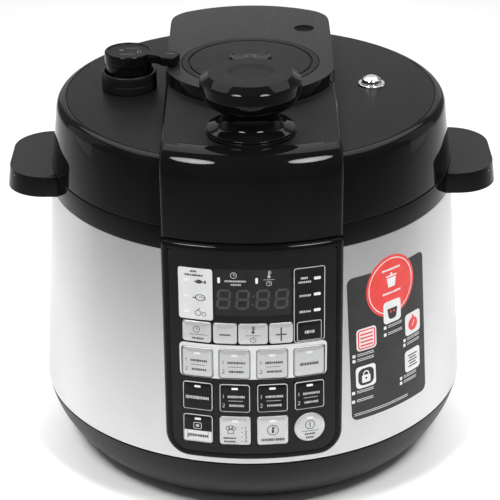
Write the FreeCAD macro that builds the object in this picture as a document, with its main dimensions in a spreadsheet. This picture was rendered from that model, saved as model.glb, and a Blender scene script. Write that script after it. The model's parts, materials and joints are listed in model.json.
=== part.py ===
import FreeCAD, Part
import math
import os

import Sketcher
from FreeCAD import Placement, Rotation, Vector

# Electric pressure cooker, modelled closed, lid unlocked, standing on its feet.
# Frame: origin on the floor below the lid's axis, +Z up, the control panel faces -Y.
# All lengths are millimetres and all angles are degrees.

doc = FreeCAD.newDocument("PressureCooker")

# ---------------------------------------------------------------- driving dimensions

DIMENSIONS = {
    # feet and bottom cover
    "foot_height": 2.5, "foot_radius": 9.0, "foot_inset": 10.0, "foot_stem_radius": 3.0,
    "cover_thickness": 1.5, "cover_margin": 12.0, "cover_band": 12.0, "cover_screw_inset": 6.0,
    "screw_turn": 20.0, "screw_radius": 1.5, "screw_head_radius": 2.8, "screw_head_height": 1.4,
    "screw_length": 8.0,
    # plastic base tray
    "tray_inset": 28.5, "tray_height": 42.0, "tray_wall": 2.5, "tray_bulge": 4.5, "tray_round_share": 0.9,
    "tray_spigot_height": 6.0, "tray_floor_round": 4.0, "tray_inner_share": 0.75,
    # steel shell
    "shell_flare": 10.5, "shell_top_radius": 138.0, "shell_height": 146.8, "shell_wall": 0.8,
    "shell_gap": 1.2, "shell_window_half": 49.0, "shell_window_margin": 9.0,
    # collar on top of the shell
    "collar_height": 14.6, "collar_taper": 0.8, "collar_wall": 2.8, "collar_deck": 2.5, "collar_spigot": 8.0,
    # cooking well with its lugged rim, and the pot
    "ring_play": 4.4, "well_wall": 1.5, "well_floor": 56.0, "well_floor_hole": 30.0, "well_rim_drop": 3.6,
    "rim_thickness": 3.0, "rim_width": 2.5, "lug_count": 8, "lug_reach": 4.75, "lug_angle": 18.0,
    "lug_drop": 1.0, "pot_gap": 1.0, "pot_wall": 1.5, "pot_floor": 2.0, "pot_round": 12.0,
    "pot_rim_width": 4.5, "plate_thickness": 8.0, "plate_radius": 95.0, "plate_hole": 15.0,
    "sensor_radius": 12.0, "sensor_height": 9.0, "sensor_stem": 4.0, "spring_wire": 0.7, "spring_turns": 4.0,
    # lid
    "seam": 0.4, "lid_seat": 0.2, "lid_height": 44.0, "lid_taper": 5.2, "shoulder_round": 7.0, "lid_wall": 3.0,
    "cap_inset": 6.4, "cap_gap": 0.25, "cap_thickness": 3.0, "cap_dome": 1.4, "cap_ledge": 7.0, "cap_rim": 0.8,
    "gasket_height": 2.2, "gasket_width": 8.0, "gasket_gap": 0.3, "inner_lid_thickness": 2.0,
    "inner_lid_rise": 4.0, "inner_lid_step": 14.0,
    # bridge across the lid
    "bridge_margin": 11.5, "bridge_wall": 3.0, "front_proud": 4.0, "front_gap": 1.0, "front_drop": 4.6,
    "deck_front_height": 8.2, "deck_rise": 4.6, "plateau_height": 20.4, "plateau_front_radius": 59.5,
    "plateau_rear_radius": 89.6, "plateau_rear_centre": 31.4, "plateau_round": 2.5,
    "disc_radius": 46.3, "disc_groove": 41.6, "disc_thickness": 1.5, "disc_gap": 0.3,
    "boss_radius": 14.5, "boss_height": 4.5,
    "seat_radius": 29.0, "seat_height": 0.6, "eye_radius": 6.9, "eye_x": 38.3, "eye_y": 67.0,
    # knob and lock gear
    "knob_rim_radius": 32.2, "knob_foot_radius": 28.3, "knob_neck_radius": 18.4, "knob_face_radius": 25.6,
    "knob_height": 37.0, "knob_rim_low": 27.4, "knob_rim_high": 34.0, "knob_under": 18.0, "knob_flare": 4.2,
    "knob_dish_radius": 15.0, "knob_dish_depth": 1.1, "knob_gap": 0.4,
    "shaft_radius": 6.0, "fit": 0.05, "gear_module": 2.0, "pinion_teeth": 16, "gear_backlash": 0.25,
    "gear_thickness": 5.0, "gear_sector": 34.0, "gear_rim": 11.6,
    # lock ring
    "ring_gap": 2.4, "ring_wall": 2.5, "ring_lug_height": 3.5, "ring_lug_reach": 4.6,
    # steam valve
    "valve_x": -82.8, "valve_y": 6.0, "socket_radius": 18.8, "socket_height": 12.4, "socket_wall": 2.5,
    "pipe_radius": 4.0, "pipe_bore": 2.0, "valve_radius": 16.2, "valve_height": 13.6, "valve_wall": 2.4,
    "valve_gap": 0.5, "valve_hub": 7.0, "lever_reach": 36.0, "lever_width": 9.0, "lever_height": 6.0,
    "lever_angle": -20.0, "lever_block": 11.0, "lever_block_width": 15.0,
    # float valve
    "float_x": 82.8, "float_y": 6.8, "bezel_radius": 9.6, "bezel_height": 1.2, "dome_radius": 6.6,
    "dome_height": 6.0, "float_stem": 2.5, "float_foot": 4.5, "float_travel": 3.5,
    # side handles
    "handle_reach": 29.8, "handle_half": 42.0, "handle_thickness": 14.6, "handle_round": 27.0,
    "handle_wall": 3.0,
    # control panel
    "panel_share": 0.384, "panel_low_gap": 4.3, "panel_high_gap": 5.2, "panel_foot_proud": 2.5,
    "panel_head_proud": 6.6, "panel_corner": 15.0, "panel_margin": 4.5, "panel_recess": 0.3,
    "fascia_thickness": 2.0, "shell_clearance": 0.3,
    "window_drop": 31.5, "window_width": 48.8, "window_height": 32.8, "window_thickness": 1.6,
    "key_width": 20.2, "key_height": 20.6, "key_pitch": 9.4, "key_drop_2": 81.8, "key_drop_3": 106.3,
    "key_drop_4": 130.1, "small_drop": 60.1, "small_height": 14.4, "small_side_width": 18.9,
    "small_step_width": 15.4, "small_side_angle": 14.2, "small_step_angle": 7.0, "mode_width": 17.2,
    "key_round": 2.0, "key_proud": 0.6, "key_depth": 3.6, "key_gap": 0.3, "key_travel": 0.6,
    "key_stem_radius": 2.0, "board_clear": 8.95, "board_thickness": 1.6, "board_half": 44.0,
    "board_margin": 8.0, "board_top_margin": 19.0, "module_margin": 4.0,
    "switch_height": 3.5, "switch_gap": 1.5,
    # hinge
    "hinge_offset": 7.6, "hinge_level": 5.6, "knuckle_radius": 6.5, "hinge_pin_radius": 2.5,
    "knuckle_half": 21.5, "ear_gap": 0.4, "ear_width": 9.0, "bracket_height": 26.0, "arm_height": 26.0,
    # electrics and label
    "power_board_width": 70.0, "power_board_depth": 45.0, "power_board_level": 14.0, "board_post": 3.0,
    "inlet_width": 30.0, "inlet_height": 22.0, "inlet_level": 27.0, "inlet_depth": 24.0, "inlet_wall": 2.0,
    "inlet_mouth_depth": 17.0, "blade_length": 11.0, "blade_width": 2.0, "blade_height": 4.0,
    "blade_pitch": 7.0,
    "label_from": 26.0, "label_to": 53.5, "label_low_gap": 21.8, "label_high_gap": 23.0,
    "label_thickness": 0.15,
}

sheet = doc.addObject("Spreadsheet::Sheet", "Dims")
for row, (alias, number) in enumerate(DIMENSIONS.items(), start=1):
    sheet.set(f"A{row}", alias)
    sheet.set(f"B{row}", str(number))
    sheet.setAlias(f"B{row}", alias)
doc.recompute()


class Size:
    """A number that also knows the sheet expression that gives it."""

    def __init__(self, number, text=None):
        self.number = number
        self.text = text or repr(number)

    def __add__(self, other):
        other = size_of(other)
        return Size(self.number + other.number, f"({self.text} + {other.text})")

    def __sub__(self, other):
        other = size_of(other)
        return Size(self.number - other.number, f"({self.text} - {other.text})")

    def __mul__(self, other):
        other = size_of(other)
        return Size(self.number * other.number, f"({self.text} * {other.text})")

    def __truediv__(self, other):
        other = size_of(other)
        return Size(self.number / other.number, f"({self.text} / {other.text})")

    def __neg__(self):
        return Size(-self.number, f"(-1 * {self.text})")

    __radd__ = __add__
    __rmul__ = __mul__

    def __rsub__(self, other):
        return size_of(other) - self


def size_of(value):
    return value if isinstance(value, Size) else Size(value)


class Dims:
    """Every cell of the sheet as a Size."""


for alias in DIMENSIONS:
    setattr(Dims, alias, Size(sheet.get(alias), f"Dims.{alias}"))
D = Dims


def sine(angle):
    return Size(math.sin(math.radians(angle.number)), f"sin({angle.text})")


def cosine(angle):
    return Size(math.cos(math.radians(angle.number)), f"cos({angle.text})")


def root(value):
    return Size(math.sqrt(value.number), f"sqrt({value.text})")


# ---------------------------------------------------------------- derived levels and radii

# levels above the floor
tray_bottom = D.foot_height + D.cover_thickness
tray_top = tray_bottom + D.tray_height
shell_low = tray_top + D.shell_gap
shell_high = shell_low + D.shell_height
collar_top = shell_high + D.collar_height
lid_low = collar_top + D.seam
lid_high = lid_low + D.lid_height
cap_edge = lid_high + D.cap_rim
cap_under = cap_edge - D.cap_thickness
plateau_top = cap_edge + D.plateau_height
deck_front = cap_edge + D.deck_front_height
seat_top = plateau_top - D.plateau_height + D.deck_front_height + D.deck_rise / 2 + D.seat_height

# radii about the lid's axis
shell_bottom_radius = D.shell_top_radius + D.shell_flare
tray_floor_radius = shell_bottom_radius - D.tray_inset
cover_radius = tray_floor_radius - D.cover_margin
cover_opening = cover_radius - D.cover_band
cover_screw_circle = cover_radius - D.cover_screw_inset
foot_circle = cover_opening - D.foot_inset
shell_taper = D.shell_flare
collar_top_radius = D.shell_top_radius - D.collar_taper
lid_low_radius = collar_top_radius - D.lid_seat
lid_high_radius = lid_low_radius - D.lid_taper
cap_radius = lid_high_radius - D.cap_inset
front_radius = lid_low_radius + D.front_proud
bridge_half = D.disc_radius + D.bridge_margin
collar_inner = collar_top_radius - D.collar_wall
ring_outer = collar_inner - D.ring_play
ring_inner = ring_outer - D.ring_wall
lug_outer = ring_inner - D.ring_gap / 2
rim_outer = lug_outer - D.lug_reach
well_outer = rim_outer - D.rim_width
well_inner = well_outer - D.well_wall
pot_outer = well_inner - D.pot_gap
pot_inner = pot_outer - D.pot_wall

# the well's rim, the pot's rim and the gasket above it
rim_high = collar_top - D.well_rim_drop
rim_low = rim_high - D.rim_thickness
pot_rim_high = rim_high + D.pot_wall
gasket_low = pot_rim_high + D.gasket_gap
gasket_high = gasket_low + D.gasket_height
plate_low = D.well_floor + D.well_wall
pot_low = plate_low + D.plate_thickness
inner_lid_high = gasket_high + D.inner_lid_thickness
dome_high = inner_lid_high + D.inner_lid_rise

# lock gear: the ring takes as many whole teeth as fit inside it
pinion_radius = D.gear_module * D.pinion_teeth / 2
tooth_depth = 1.25 * D.gear_module
ring_teeth = math.floor((2 * (ring_inner - tooth_depth - D.gear_rim) / D.gear_module).number)
ring_pitch_radius = D.gear_module * ring_teeth / 2
knob_offset = ring_pitch_radius - pinion_radius
gear_low = dome_high + 2.0
gear_high = gear_low + D.gear_thickness
lug_low = rim_low - D.lug_drop - D.ring_lug_height
lug_high = rim_low - D.lug_drop

# hinge axis behind the collar
hinge_y = collar_top_radius + D.hinge_offset
hinge_z = collar_top - D.hinge_level

# the control panel hangs between the shell's foot and the collar; its rows are measured from its head
panel_low = shell_low + D.panel_low_gap
panel_high = collar_top - D.panel_high_gap
panel_low_radius = shell_bottom_radius + D.panel_foot_proud
panel_high_radius = D.shell_top_radius + D.panel_head_proud
panel_half = panel_low_radius * D.panel_share
board_level = well_outer + D.board_clear
window_level = panel_high - D.window_drop
small_row = panel_high - D.small_drop
key_row_2 = panel_high - D.key_drop_2
key_row_3 = panel_high - D.key_drop_3
key_row_4 = panel_high - D.key_drop_4
label_low = shell_low + D.label_low_gap
label_high = shell_high - D.label_high_gap
panel_slope = (panel_low_radius - panel_high_radius) / (panel_high - panel_low)


def shell_radius(level):
    """Outer radius of the steel shell's cone at a level."""
    return shell_bottom_radius - (level - shell_low) * shell_taper / D.shell_height


def panel_radius(level):
    """Radius of the control panel's front at a level."""
    return panel_low_radius - (level - panel_low) * panel_slope


def lid_radius(level):
    """Outer radius of the lid's conical side at a level."""
    return lid_low_radius - (level - lid_low) * D.lid_taper / D.lid_height


# ---------------------------------------------------------------- drawing helpers

nodes = []


def new_body(label, base=(0, 0, 0)):
    """An empty PartDesign body whose placement is bound to the sheet."""
    body = doc.addObject("PartDesign::Body", label)
    body.Label = label
    base = [size_of(value) for value in base]
    body.Placement = Placement(Vector(*(value.number for value in base)), Rotation())
    for axis, value in zip("xyz", base):
        body.setExpression(f"Placement.Base.{axis}", value.text)
    nodes.append(body)
    return body


def turn_body(body, axis, angle):
    """Turns a whole body about an axis through its own origin."""
    body.Placement = Placement(body.Placement.Base, Rotation(Vector(*axis), size_of(angle).number))


def new_sketch(body, plane, level=0):
    """A sketch on one of the body's own origin planes, moved along the plane's normal."""
    sketch = body.newObject("Sketcher::SketchObject", f"{body.Name}_sketch")
    origin = [item for item in body.Origin.OriginFeatures if item.Role == plane][0]
    sketch.AttachmentSupport = [(origin, "")]
    sketch.MapMode = "FlatFace"
    level = size_of(level)
    sketch.AttachmentOffset = Placement(Vector(0, 0, level.number), Rotation())
    sketch.setExpression("AttachmentOffset.Base.z", level.text)
    return sketch


def bind(sketch, constraint, value):
    index = sketch.addConstraint(constraint)
    sketch.setExpression(f"Constraints[{index}]", value.text)


def pin_point(sketch, item, vertex, x, y):
    """Holds one vertex at (x, y) with dimensions from the sketch's origin."""
    for kind, value in (("X", x), ("Y", y)):
        if abs(value.number) < 1e-9:
            axis = -2 if kind == "X" else -1
            sketch.addConstraint(Sketcher.Constraint("PointOnObject", item, vertex, axis))
        else:
            name = f"Distance{kind}"
            bind(sketch, Sketcher.Constraint(name, -1, 1, item, vertex, value.number), value)


def outline(sketch, corners):
    """Closed outline through corners (x, y) or (x, y, round), all bound to the sheet."""
    points = [(size_of(corner[0]), size_of(corner[1])) for corner in corners]
    rounds = [size_of(corner[2]) if len(corner) > 2 else None for corner in corners]
    flat = [Vector(x.number, y.number, 0) for x, y in points]
    count = len(points)
    starts, ends, arcs = list(flat), list(flat), [None] * count
    for index in range(count):
        if rounds[index] is None:
            continue
        here = flat[index]
        before = (flat[index - 1] - here).normalize()
        after = (flat[(index + 1) % count] - here).normalize()
        half = before.getAngle(after) / 2
        reach = rounds[index].number / math.tan(half)
        centre = here + (before + after).normalize() * (rounds[index].number / math.sin(half))
        ends[index] = here + before * reach
        starts[index] = here + after * reach
        middle = centre + (here - centre).normalize() * rounds[index].number
        arcs[index] = Part.Arc(ends[index], middle, starts[index])
    lines = []
    for index in range(count):
        follow = (index + 1) % count
        lines.append(sketch.addGeometry(Part.LineSegment(starts[index], ends[follow]), False))
    for index in range(count):
        x, y = points[index]
        if arcs[index] is None:
            sketch.addConstraint(Sketcher.Constraint("Coincident", lines[index - 1], 2, lines[index], 1))
            pin_point(sketch, lines[index], 1, x, y)
            continue
        arc = sketch.addGeometry(arcs[index], False)
        first = sketch.getPoint(arc, 1)
        head, tail = (1, 2) if first.distanceToPoint(ends[index]) < 1e-6 else (2, 1)
        sketch.addConstraint(Sketcher.Constraint("Tangent", lines[index - 1], 2, arc, head))
        sketch.addConstraint(Sketcher.Constraint("Tangent", arc, tail, lines[index], 1))
        bind(sketch, Sketcher.Constraint("Radius", arc, rounds[index].number), rounds[index])
        corner = sketch.addGeometry(Part.Point(flat[index]), True)
        pin_point(sketch, corner, 1, x, y)
        sketch.addConstraint(Sketcher.Constraint("PointOnObject", corner, 1, lines[index - 1]))
        sketch.addConstraint(Sketcher.Constraint("PointOnObject", corner, 1, lines[index]))


def circle(sketch, x, y, radius):
    x, y, radius = size_of(x), size_of(y), size_of(radius)
    item = sketch.addGeometry(Part.Circle(Vector(x.number, y.number, 0), Vector(0, 0, 1), radius.number), False)
    bind(sketch, Sketcher.Constraint("Radius", item, radius.number), radius)
    pin_point(sketch, item, 3, x, y)


def box_outline(sketch, x_low, x_high, y_low, y_high, corner=None):
    extra = () if corner is None else (corner,)
    outline(sketch, [(x_low, y_low, *extra), (x_high, y_low, *extra), (x_high, y_high, *extra), (x_low, y_high, *extra)])


def annular_sector(sketch, inner, outer, half_angle, middle_angle):
    """Sector of a ring; middle_angle is counted from the sketch's x axis."""
    low = math.radians(middle_angle - half_angle.number)
    high = math.radians(middle_angle + half_angle.number)
    corners = [Vector(r.number * math.cos(a), r.number * math.sin(a), 0) for r, a in
               ((inner, low), (outer, low), (outer, high), (inner, high))]
    middle = math.radians(middle_angle)
    spot = Vector(math.cos(middle), math.sin(middle), 0)
    items = sketch.addGeometry([
        Part.LineSegment(corners[0], corners[1]),
        Part.Arc(corners[1], spot * outer.number, corners[2]),
        Part.LineSegment(corners[2], corners[3]),
        Part.Arc(corners[0], spot * inner.number, corners[3]),
    ], False)
    line_a, arc_outer, line_b, arc_inner = items
    for arc, radius in ((arc_outer, outer), (arc_inner, inner)):
        sketch.addConstraint(Sketcher.Constraint("Coincident", arc, 3, -1, 1))
        bind(sketch, Sketcher.Constraint("Radius", arc, radius.number), radius)
    sketch.addConstraint(Sketcher.Constraint("Coincident", line_a, 1, arc_inner, 1))
    sketch.addConstraint(Sketcher.Constraint("Coincident", line_a, 2, arc_outer, 1))
    sketch.addConstraint(Sketcher.Constraint("Coincident", line_b, 1, arc_outer, 2))
    sketch.addConstraint(Sketcher.Constraint("Coincident", line_b, 2, arc_inner, 2))
    for line, side in ((line_a, -1), (line_b, 1)):
        angle = size_of(math.radians(middle_angle)).number + side * math.radians(half_angle.number)
        text = f"({middle_angle!r} + {side} * {half_angle.text}) * 1 deg"
        direction = angle if line == line_a else angle + math.pi
        sketch.addConstraint(Sketcher.Constraint("PointOnObject", -1, 1, line))
        slope = math.degrees(direction)
        index = sketch.addConstraint(Sketcher.Constraint("Angle", line, math.radians(slope)))
        sketch.setExpression(f"Constraints[{index}]", text if line == line_a else f"{text} + 180 deg")


def lathe(body, corners):
    """Turned solid: an outline in the XZ plane swept once round the body's Z axis."""
    sketch = new_sketch(body, "XZ_Plane")
    outline(sketch, corners)
    feature = body.newObject("PartDesign::Revolution", f"{body.Name}_turned")
    feature.Profile = sketch
    feature.ReferenceAxis = (sketch, ["V_Axis"])
    feature.Angle = 360
    sketch.Visibility = False
    return feature


def turned_cut(body, corners):
    """Removes an outline in the XZ plane swept once round the body's Z axis."""
    sketch = new_sketch(body, "XZ_Plane")
    outline(sketch, corners)
    feature = body.newObject("PartDesign::Groove", f"{body.Name}_groove")
    feature.Profile = sketch
    feature.ReferenceAxis = (sketch, ["V_Axis"])
    feature.Angle = 360
    return feature


def pad(body, sketch, length, backwards=False, both_ways=False, taper=None):
    feature = body.newObject("PartDesign::Pad", f"{body.Name}_pad")
    feature.Profile = sketch
    length = size_of(length)
    feature.Length = length.number
    feature.setExpression("Length", length.text)
    feature.Reversed = backwards
    feature.Midplane = both_ways
    if taper is not None:
        feature.setExpression("TaperAngle", (-taper).text)
    return feature


def pocket(body, sketch, length, backwards=False, both_ways=False):
    """Cuts against the sketch's normal, or along it when backwards is set."""
    feature = body.newObject("PartDesign::Pocket", f"{body.Name}_pocket")
    feature.Profile = sketch
    length = size_of(length)
    feature.Length = length.number
    feature.setExpression("Length", length.text)
    feature.Reversed = backwards
    feature.Midplane = both_ways
    return feature


def around(body, feature, count):
    """Repeats a feature evenly round the body's Z axis."""
    pattern = body.newObject("PartDesign::PolarPattern", f"{body.Name}_pattern")
    pattern.Originals = [feature]
    axis = [item for item in body.Origin.OriginFeatures if item.Role == "Z_Axis"][0]
    pattern.Axis = (axis, [""])
    pattern.Angle = 360
    pattern.Occurrences = int(size_of(count).number)
    if isinstance(count, Size):
        pattern.setExpression("Occurrences", count.text)
    body.Tip = pattern
    return pattern


def group(label, shapes):
    """Several equal solids that share one node."""
    feature = doc.addObject("Part::Feature", label)
    feature.Label = label
    feature.Shape = Part.makeCompound(shapes)
    nodes.append(feature)
    return feature


def ring_positions(count, radius, first_angle):
    """Evenly spaced points on a circle about the Z axis."""
    for index in range(count):
        angle = math.radians(first_angle + 360.0 * index / count)
        yield Vector(radius * math.cos(angle), radius * math.sin(angle), 0)


# ---------------------------------------------------------------- base tray, cover and feet

def tray_profile():
    """Bowl wall between the flat floor and the shell, bulging outwards, with a spigot inside the shell."""
    rise = tray_top - tray_bottom
    spread = shell_low_outer - tray_floor_radius
    chord = root(rise * rise + spread * spread)
    knee_r = (tray_floor_radius + shell_low_outer) / 2 + 2 * D.tray_bulge * rise / chord
    knee_z = (tray_bottom + tray_top) / 2 - 2 * D.tray_bulge * spread / chord
    half_chord = chord / 2
    knee_depth = 2 * D.tray_bulge
    leg = root(half_chord * half_chord + knee_depth * knee_depth)
    knee_round = D.tray_round_share * leg * half_chord / knee_depth
    wall = D.tray_wall
    spigot = shell_low_outer - D.shell_wall - 1.2
    return [
        (cover_opening, tray_bottom),
        (tray_floor_radius, tray_bottom, D.tray_floor_round),
        (knee_r, knee_z, knee_round),
        (shell_low_outer, tray_top),
        (spigot, tray_top),
        (spigot, tray_top + D.tray_spigot_height),
        (spigot - wall, tray_top + D.tray_spigot_height),
        (spigot - wall, tray_top - wall),
        (knee_r - wall, knee_z + wall, knee_round * D.tray_inner_share),
        (tray_floor_radius - wall / 2, tray_bottom + wall),
        (cover_opening, tray_bottom + wall),
    ]


shell_low_outer = shell_bottom_radius - 0.4
base_tray = new_body("base_tray")
lathe(base_tray, tray_profile())
inlet_opening = new_sketch(base_tray, "XZ_Plane", -120)
box_outline(inlet_opening, -(D.inlet_width / 2) - 0.2, D.inlet_width / 2 + 0.2,
            D.inlet_level - D.inlet_height / 2 - 0.2, D.inlet_level + D.inlet_height / 2 + 0.2)
pocket(base_tray, inlet_opening, 60)
screw_x = cover_screw_circle * cosine(D.screw_turn)
screw_y = cover_screw_circle * sine(D.screw_turn)
tray_hole = new_sketch(base_tray, "XY_Plane", tray_bottom - 1)
circle(tray_hole, screw_x, screw_y, D.screw_radius)
around(base_tray, pocket(base_tray, tray_hole, 5, backwards=True), 4)

bottom_cover = new_body("bottom_cover")
lathe(bottom_cover, [(0, D.foot_height), (cover_radius, D.foot_height),
                     (cover_radius, tray_bottom), (0, tray_bottom)])
cover_hole = new_sketch(bottom_cover, "XY_Plane", D.foot_height - 1)
circle(cover_hole, screw_x, screw_y, D.screw_radius)
around(bottom_cover, pocket(bottom_cover, cover_hole, 5, backwards=True), 4)
stem_hole = new_sketch(bottom_cover, "XY_Plane", D.foot_height - 1)
circle(stem_hole, foot_circle * cosine(Size(45)), foot_circle * sine(Size(45)), D.foot_stem_radius)
around(bottom_cover, pocket(bottom_cover, stem_hole, 5, backwards=True), 4)
vent = new_sketch(bottom_cover, "XY_Plane", D.foot_height - 1)
box_outline(vent, 20, 60, -2, 2)
around(bottom_cover, pocket(bottom_cover, vent, 5, backwards=True), 12)

foot_pads = []
for spot in ring_positions(4, foot_circle.number, 45):
    disc = Part.makeCylinder(D.foot_radius.number, D.foot_height.number, spot)
    stem = Part.makeCylinder(D.foot_stem_radius.number, tray_bottom.number, spot)
    foot_pads.append(disc.fuse(stem).removeSplitter())
group("rubber_feet", foot_pads)

screws = []
for spot in ring_positions(4, cover_screw_circle.number, D.screw_turn.number):
    head_base = spot + Vector(0, 0, (D.foot_height - D.screw_head_height).number)
    head = Part.makeCylinder(D.screw_head_radius.number, D.screw_head_height.number, head_base)
    shank = Part.makeCylinder(D.screw_radius.number, D.screw_length.number, head_base)
    screws.append(head.fuse(shank).removeSplitter())
group("cover_screws", screws)

# ---------------------------------------------------------------- steel shell and collar

steel_shell = new_body("steel_shell")
lathe(steel_shell, [
    (shell_bottom_radius - D.shell_wall, shell_low), (shell_bottom_radius, shell_low),
    (D.shell_top_radius, shell_high), (D.shell_top_radius - D.shell_wall, shell_high),
])
shell_window = new_sketch(steel_shell, "XZ_Plane", 90)
box_outline(shell_window, -D.shell_window_half, D.shell_window_half,
            panel_low + D.shell_window_margin, panel_high - D.shell_window_margin)
pocket(steel_shell, shell_window, 80, backwards=True)

body_collar = new_body("body_collar")
spigot_radius = D.shell_top_radius - D.shell_wall - 0.15
deck_z = lug_low - 2.0
lathe(body_collar, [
    (spigot_radius, shell_high - D.collar_spigot), (spigot_radius, shell_high),
    (D.shell_top_radius, shell_high), (collar_top_radius, collar_top),
    (collar_inner, collar_top), (collar_inner, deck_z),
    (well_outer + 0.3, deck_z), (well_outer + 0.3, deck_z - D.collar_deck),
    (spigot_radius - D.collar_wall, deck_z - D.collar_deck),
    (spigot_radius - D.collar_wall, shell_high - D.collar_spigot),
])

# ---------------------------------------------------------------- side handles


def side_handle(label, side):
    """Grip plate beside the collar, hollow underneath, its root cut to the collar's cone."""
    body = new_body(label)
    top = collar_top - 0.6
    tip = side * (D.shell_top_radius + D.handle_reach)
    rootline = side * (D.shell_top_radius - 12)
    plan = new_sketch(body, "XY_Plane", top - D.handle_thickness)
    outline(plan, [(rootline, -D.handle_half), (tip, -D.handle_half, D.handle_round),
                   (tip, D.handle_half, D.handle_round), (rootline, D.handle_half)])
    pad(body, plan, D.handle_thickness)
    under = new_sketch(body, "XY_Plane", top - D.handle_wall)
    inner = D.handle_half - D.handle_wall
    inner_tip = side * (D.shell_top_radius + D.handle_reach - D.handle_wall)
    inner_round = D.handle_round - 2 * D.handle_wall
    outline(under, [(side * (D.shell_top_radius + D.handle_wall), -inner), (inner_tip, -inner, inner_round),
                    (inner_tip, inner, inner_round), (side * (D.shell_top_radius + D.handle_wall), inner)])
    pocket(body, under, D.handle_thickness)
    margin = 20
    slope = D.collar_taper / D.collar_height
    turned_cut(body, [
        (0, shell_high - margin), (D.shell_top_radius + margin * slope + 0.05, shell_high - margin),
        (collar_top_radius - margin * slope + 0.05, collar_top + margin), (0, collar_top + margin),
    ])
    return body


side_handle("side_handle_left", Size(-1))
side_handle("side_handle_right", Size(1))

# ---------------------------------------------------------------- cooking well, pot and heater


def lugs(body, inner, outer, low, height, half_angle, first):
    """Equal lugs round the Z axis; first is the angle of one lug's middle."""
    sketch = new_sketch(body, "XY_Plane", low)
    annular_sector(sketch, inner, outer, half_angle, first)
    return around(body, pad(body, sketch, height), D.lug_count)


LUG_STEP = 360.0 / D.lug_count.number
cooking_well = new_body("cooking_well")
lathe(cooking_well, [
    (D.well_floor_hole, D.well_floor), (well_outer, D.well_floor), (well_outer, rim_low), (rim_outer, rim_low),
    (rim_outer, rim_high), (well_inner, rim_high), (well_inner, D.well_floor + D.well_wall),
    (D.well_floor_hole, D.well_floor + D.well_wall),
])
lugs(cooking_well, rim_outer - 1, lug_outer, rim_low, D.rim_thickness, D.lug_angle / 2, 90.0)

inner_pot = new_body("inner_pot")
pot_rim_outer = pot_outer + D.pot_rim_width
lathe(inner_pot, [
    (0, pot_low), (pot_outer, pot_low, D.pot_round), (pot_outer, rim_high), (pot_rim_outer, rim_high),
    (pot_rim_outer, pot_rim_high), (pot_inner, pot_rim_high),
    (pot_inner, pot_low + D.pot_floor, D.pot_round - D.pot_wall), (0, pot_low + D.pot_floor),
])

heating_plate = new_body("heating_plate")
lathe(heating_plate, [(D.well_floor_hole + 2, plate_low), (D.plate_radius, plate_low), (D.plate_radius, pot_low),
                      (D.plate_hole, pot_low), (D.plate_hole, pot_low - 3), (D.well_floor_hole + 2, pot_low - 3)])

thermostat_sensor = new_body("thermostat_sensor")
sensor_low = pot_low - D.sensor_height
lathe(thermostat_sensor, [(0, sensor_low - 12), (D.sensor_stem, sensor_low - 12), (D.sensor_stem, sensor_low),
                          (D.sensor_radius, sensor_low), (D.sensor_radius, pot_low), (0, pot_low)])

sensor_bracket = new_body("sensor_bracket")
bracket_low = sensor_low - 14
lathe(sensor_bracket, [
    (D.sensor_stem + 0.3, bracket_low), (D.well_floor_hole + 8, bracket_low), (D.well_floor_hole + 8, D.well_floor),
    (D.well_floor_hole + 1, D.well_floor), (D.well_floor_hole + 1, D.well_floor - 2),
    (D.well_floor_hole + 6, D.well_floor - 2), (D.well_floor_hole + 6, bracket_low + 2),
    (D.sensor_stem + 0.3, bracket_low + 2),
])

spring_radius = (D.sensor_radius + D.sensor_stem).number / 2
spring_low = (bracket_low + 2 + D.spring_wire).number + 0.1
spring_rise = (sensor_low - D.spring_wire).number - 0.1 - spring_low
helix = Part.makeHelix(spring_rise / D.spring_turns.number, spring_rise, spring_radius)
section = Part.Wire([Part.makeCircle(D.spring_wire.number, Vector(spring_radius, 0, 0), Vector(0, 1, 0))])
coil = Part.Wire(helix).makePipeShell([section], True, True)
coil.translate(Vector(0, 0, spring_low))
group("sensor_spring", [coil])

pressure_switch = new_body("pressure_switch", (D.well_floor_hole + 40, 0, D.well_floor - 14))
switch_plan = new_sketch(pressure_switch, "XY_Plane")
box_outline(switch_plan, -12, 12, -7, 7)
pad(pressure_switch, switch_plan, 14)

power_board = new_body("power_board", (-35, 40, 0))
power_plan = new_sketch(power_board, "XY_Plane", D.power_board_level)
box_outline(power_plan, -(D.power_board_width / 2), D.power_board_width / 2,
            -(D.power_board_depth / 2), D.power_board_depth / 2)
pad(power_board, power_plan, D.board_thickness)
parts_plan = new_sketch(power_board, "XY_Plane", D.power_board_level + D.board_thickness)
box_outline(parts_plan, -28, -8, -14, 6)
box_outline(parts_plan, 0, 14, -10, 10)
circle(parts_plan, 25, 0, 7)
pad(power_board, parts_plan, 16)
post_plan = new_sketch(power_board, "XY_Plane", tray_bottom)
for post_x in (-30, 30):
    for post_y in (-18, 18):
        circle(post_plan, post_x, post_y, D.board_post)
pad(power_board, post_plan, D.power_board_level - tray_bottom)

# ---------------------------------------------------------------- power inlet at the back

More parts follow.
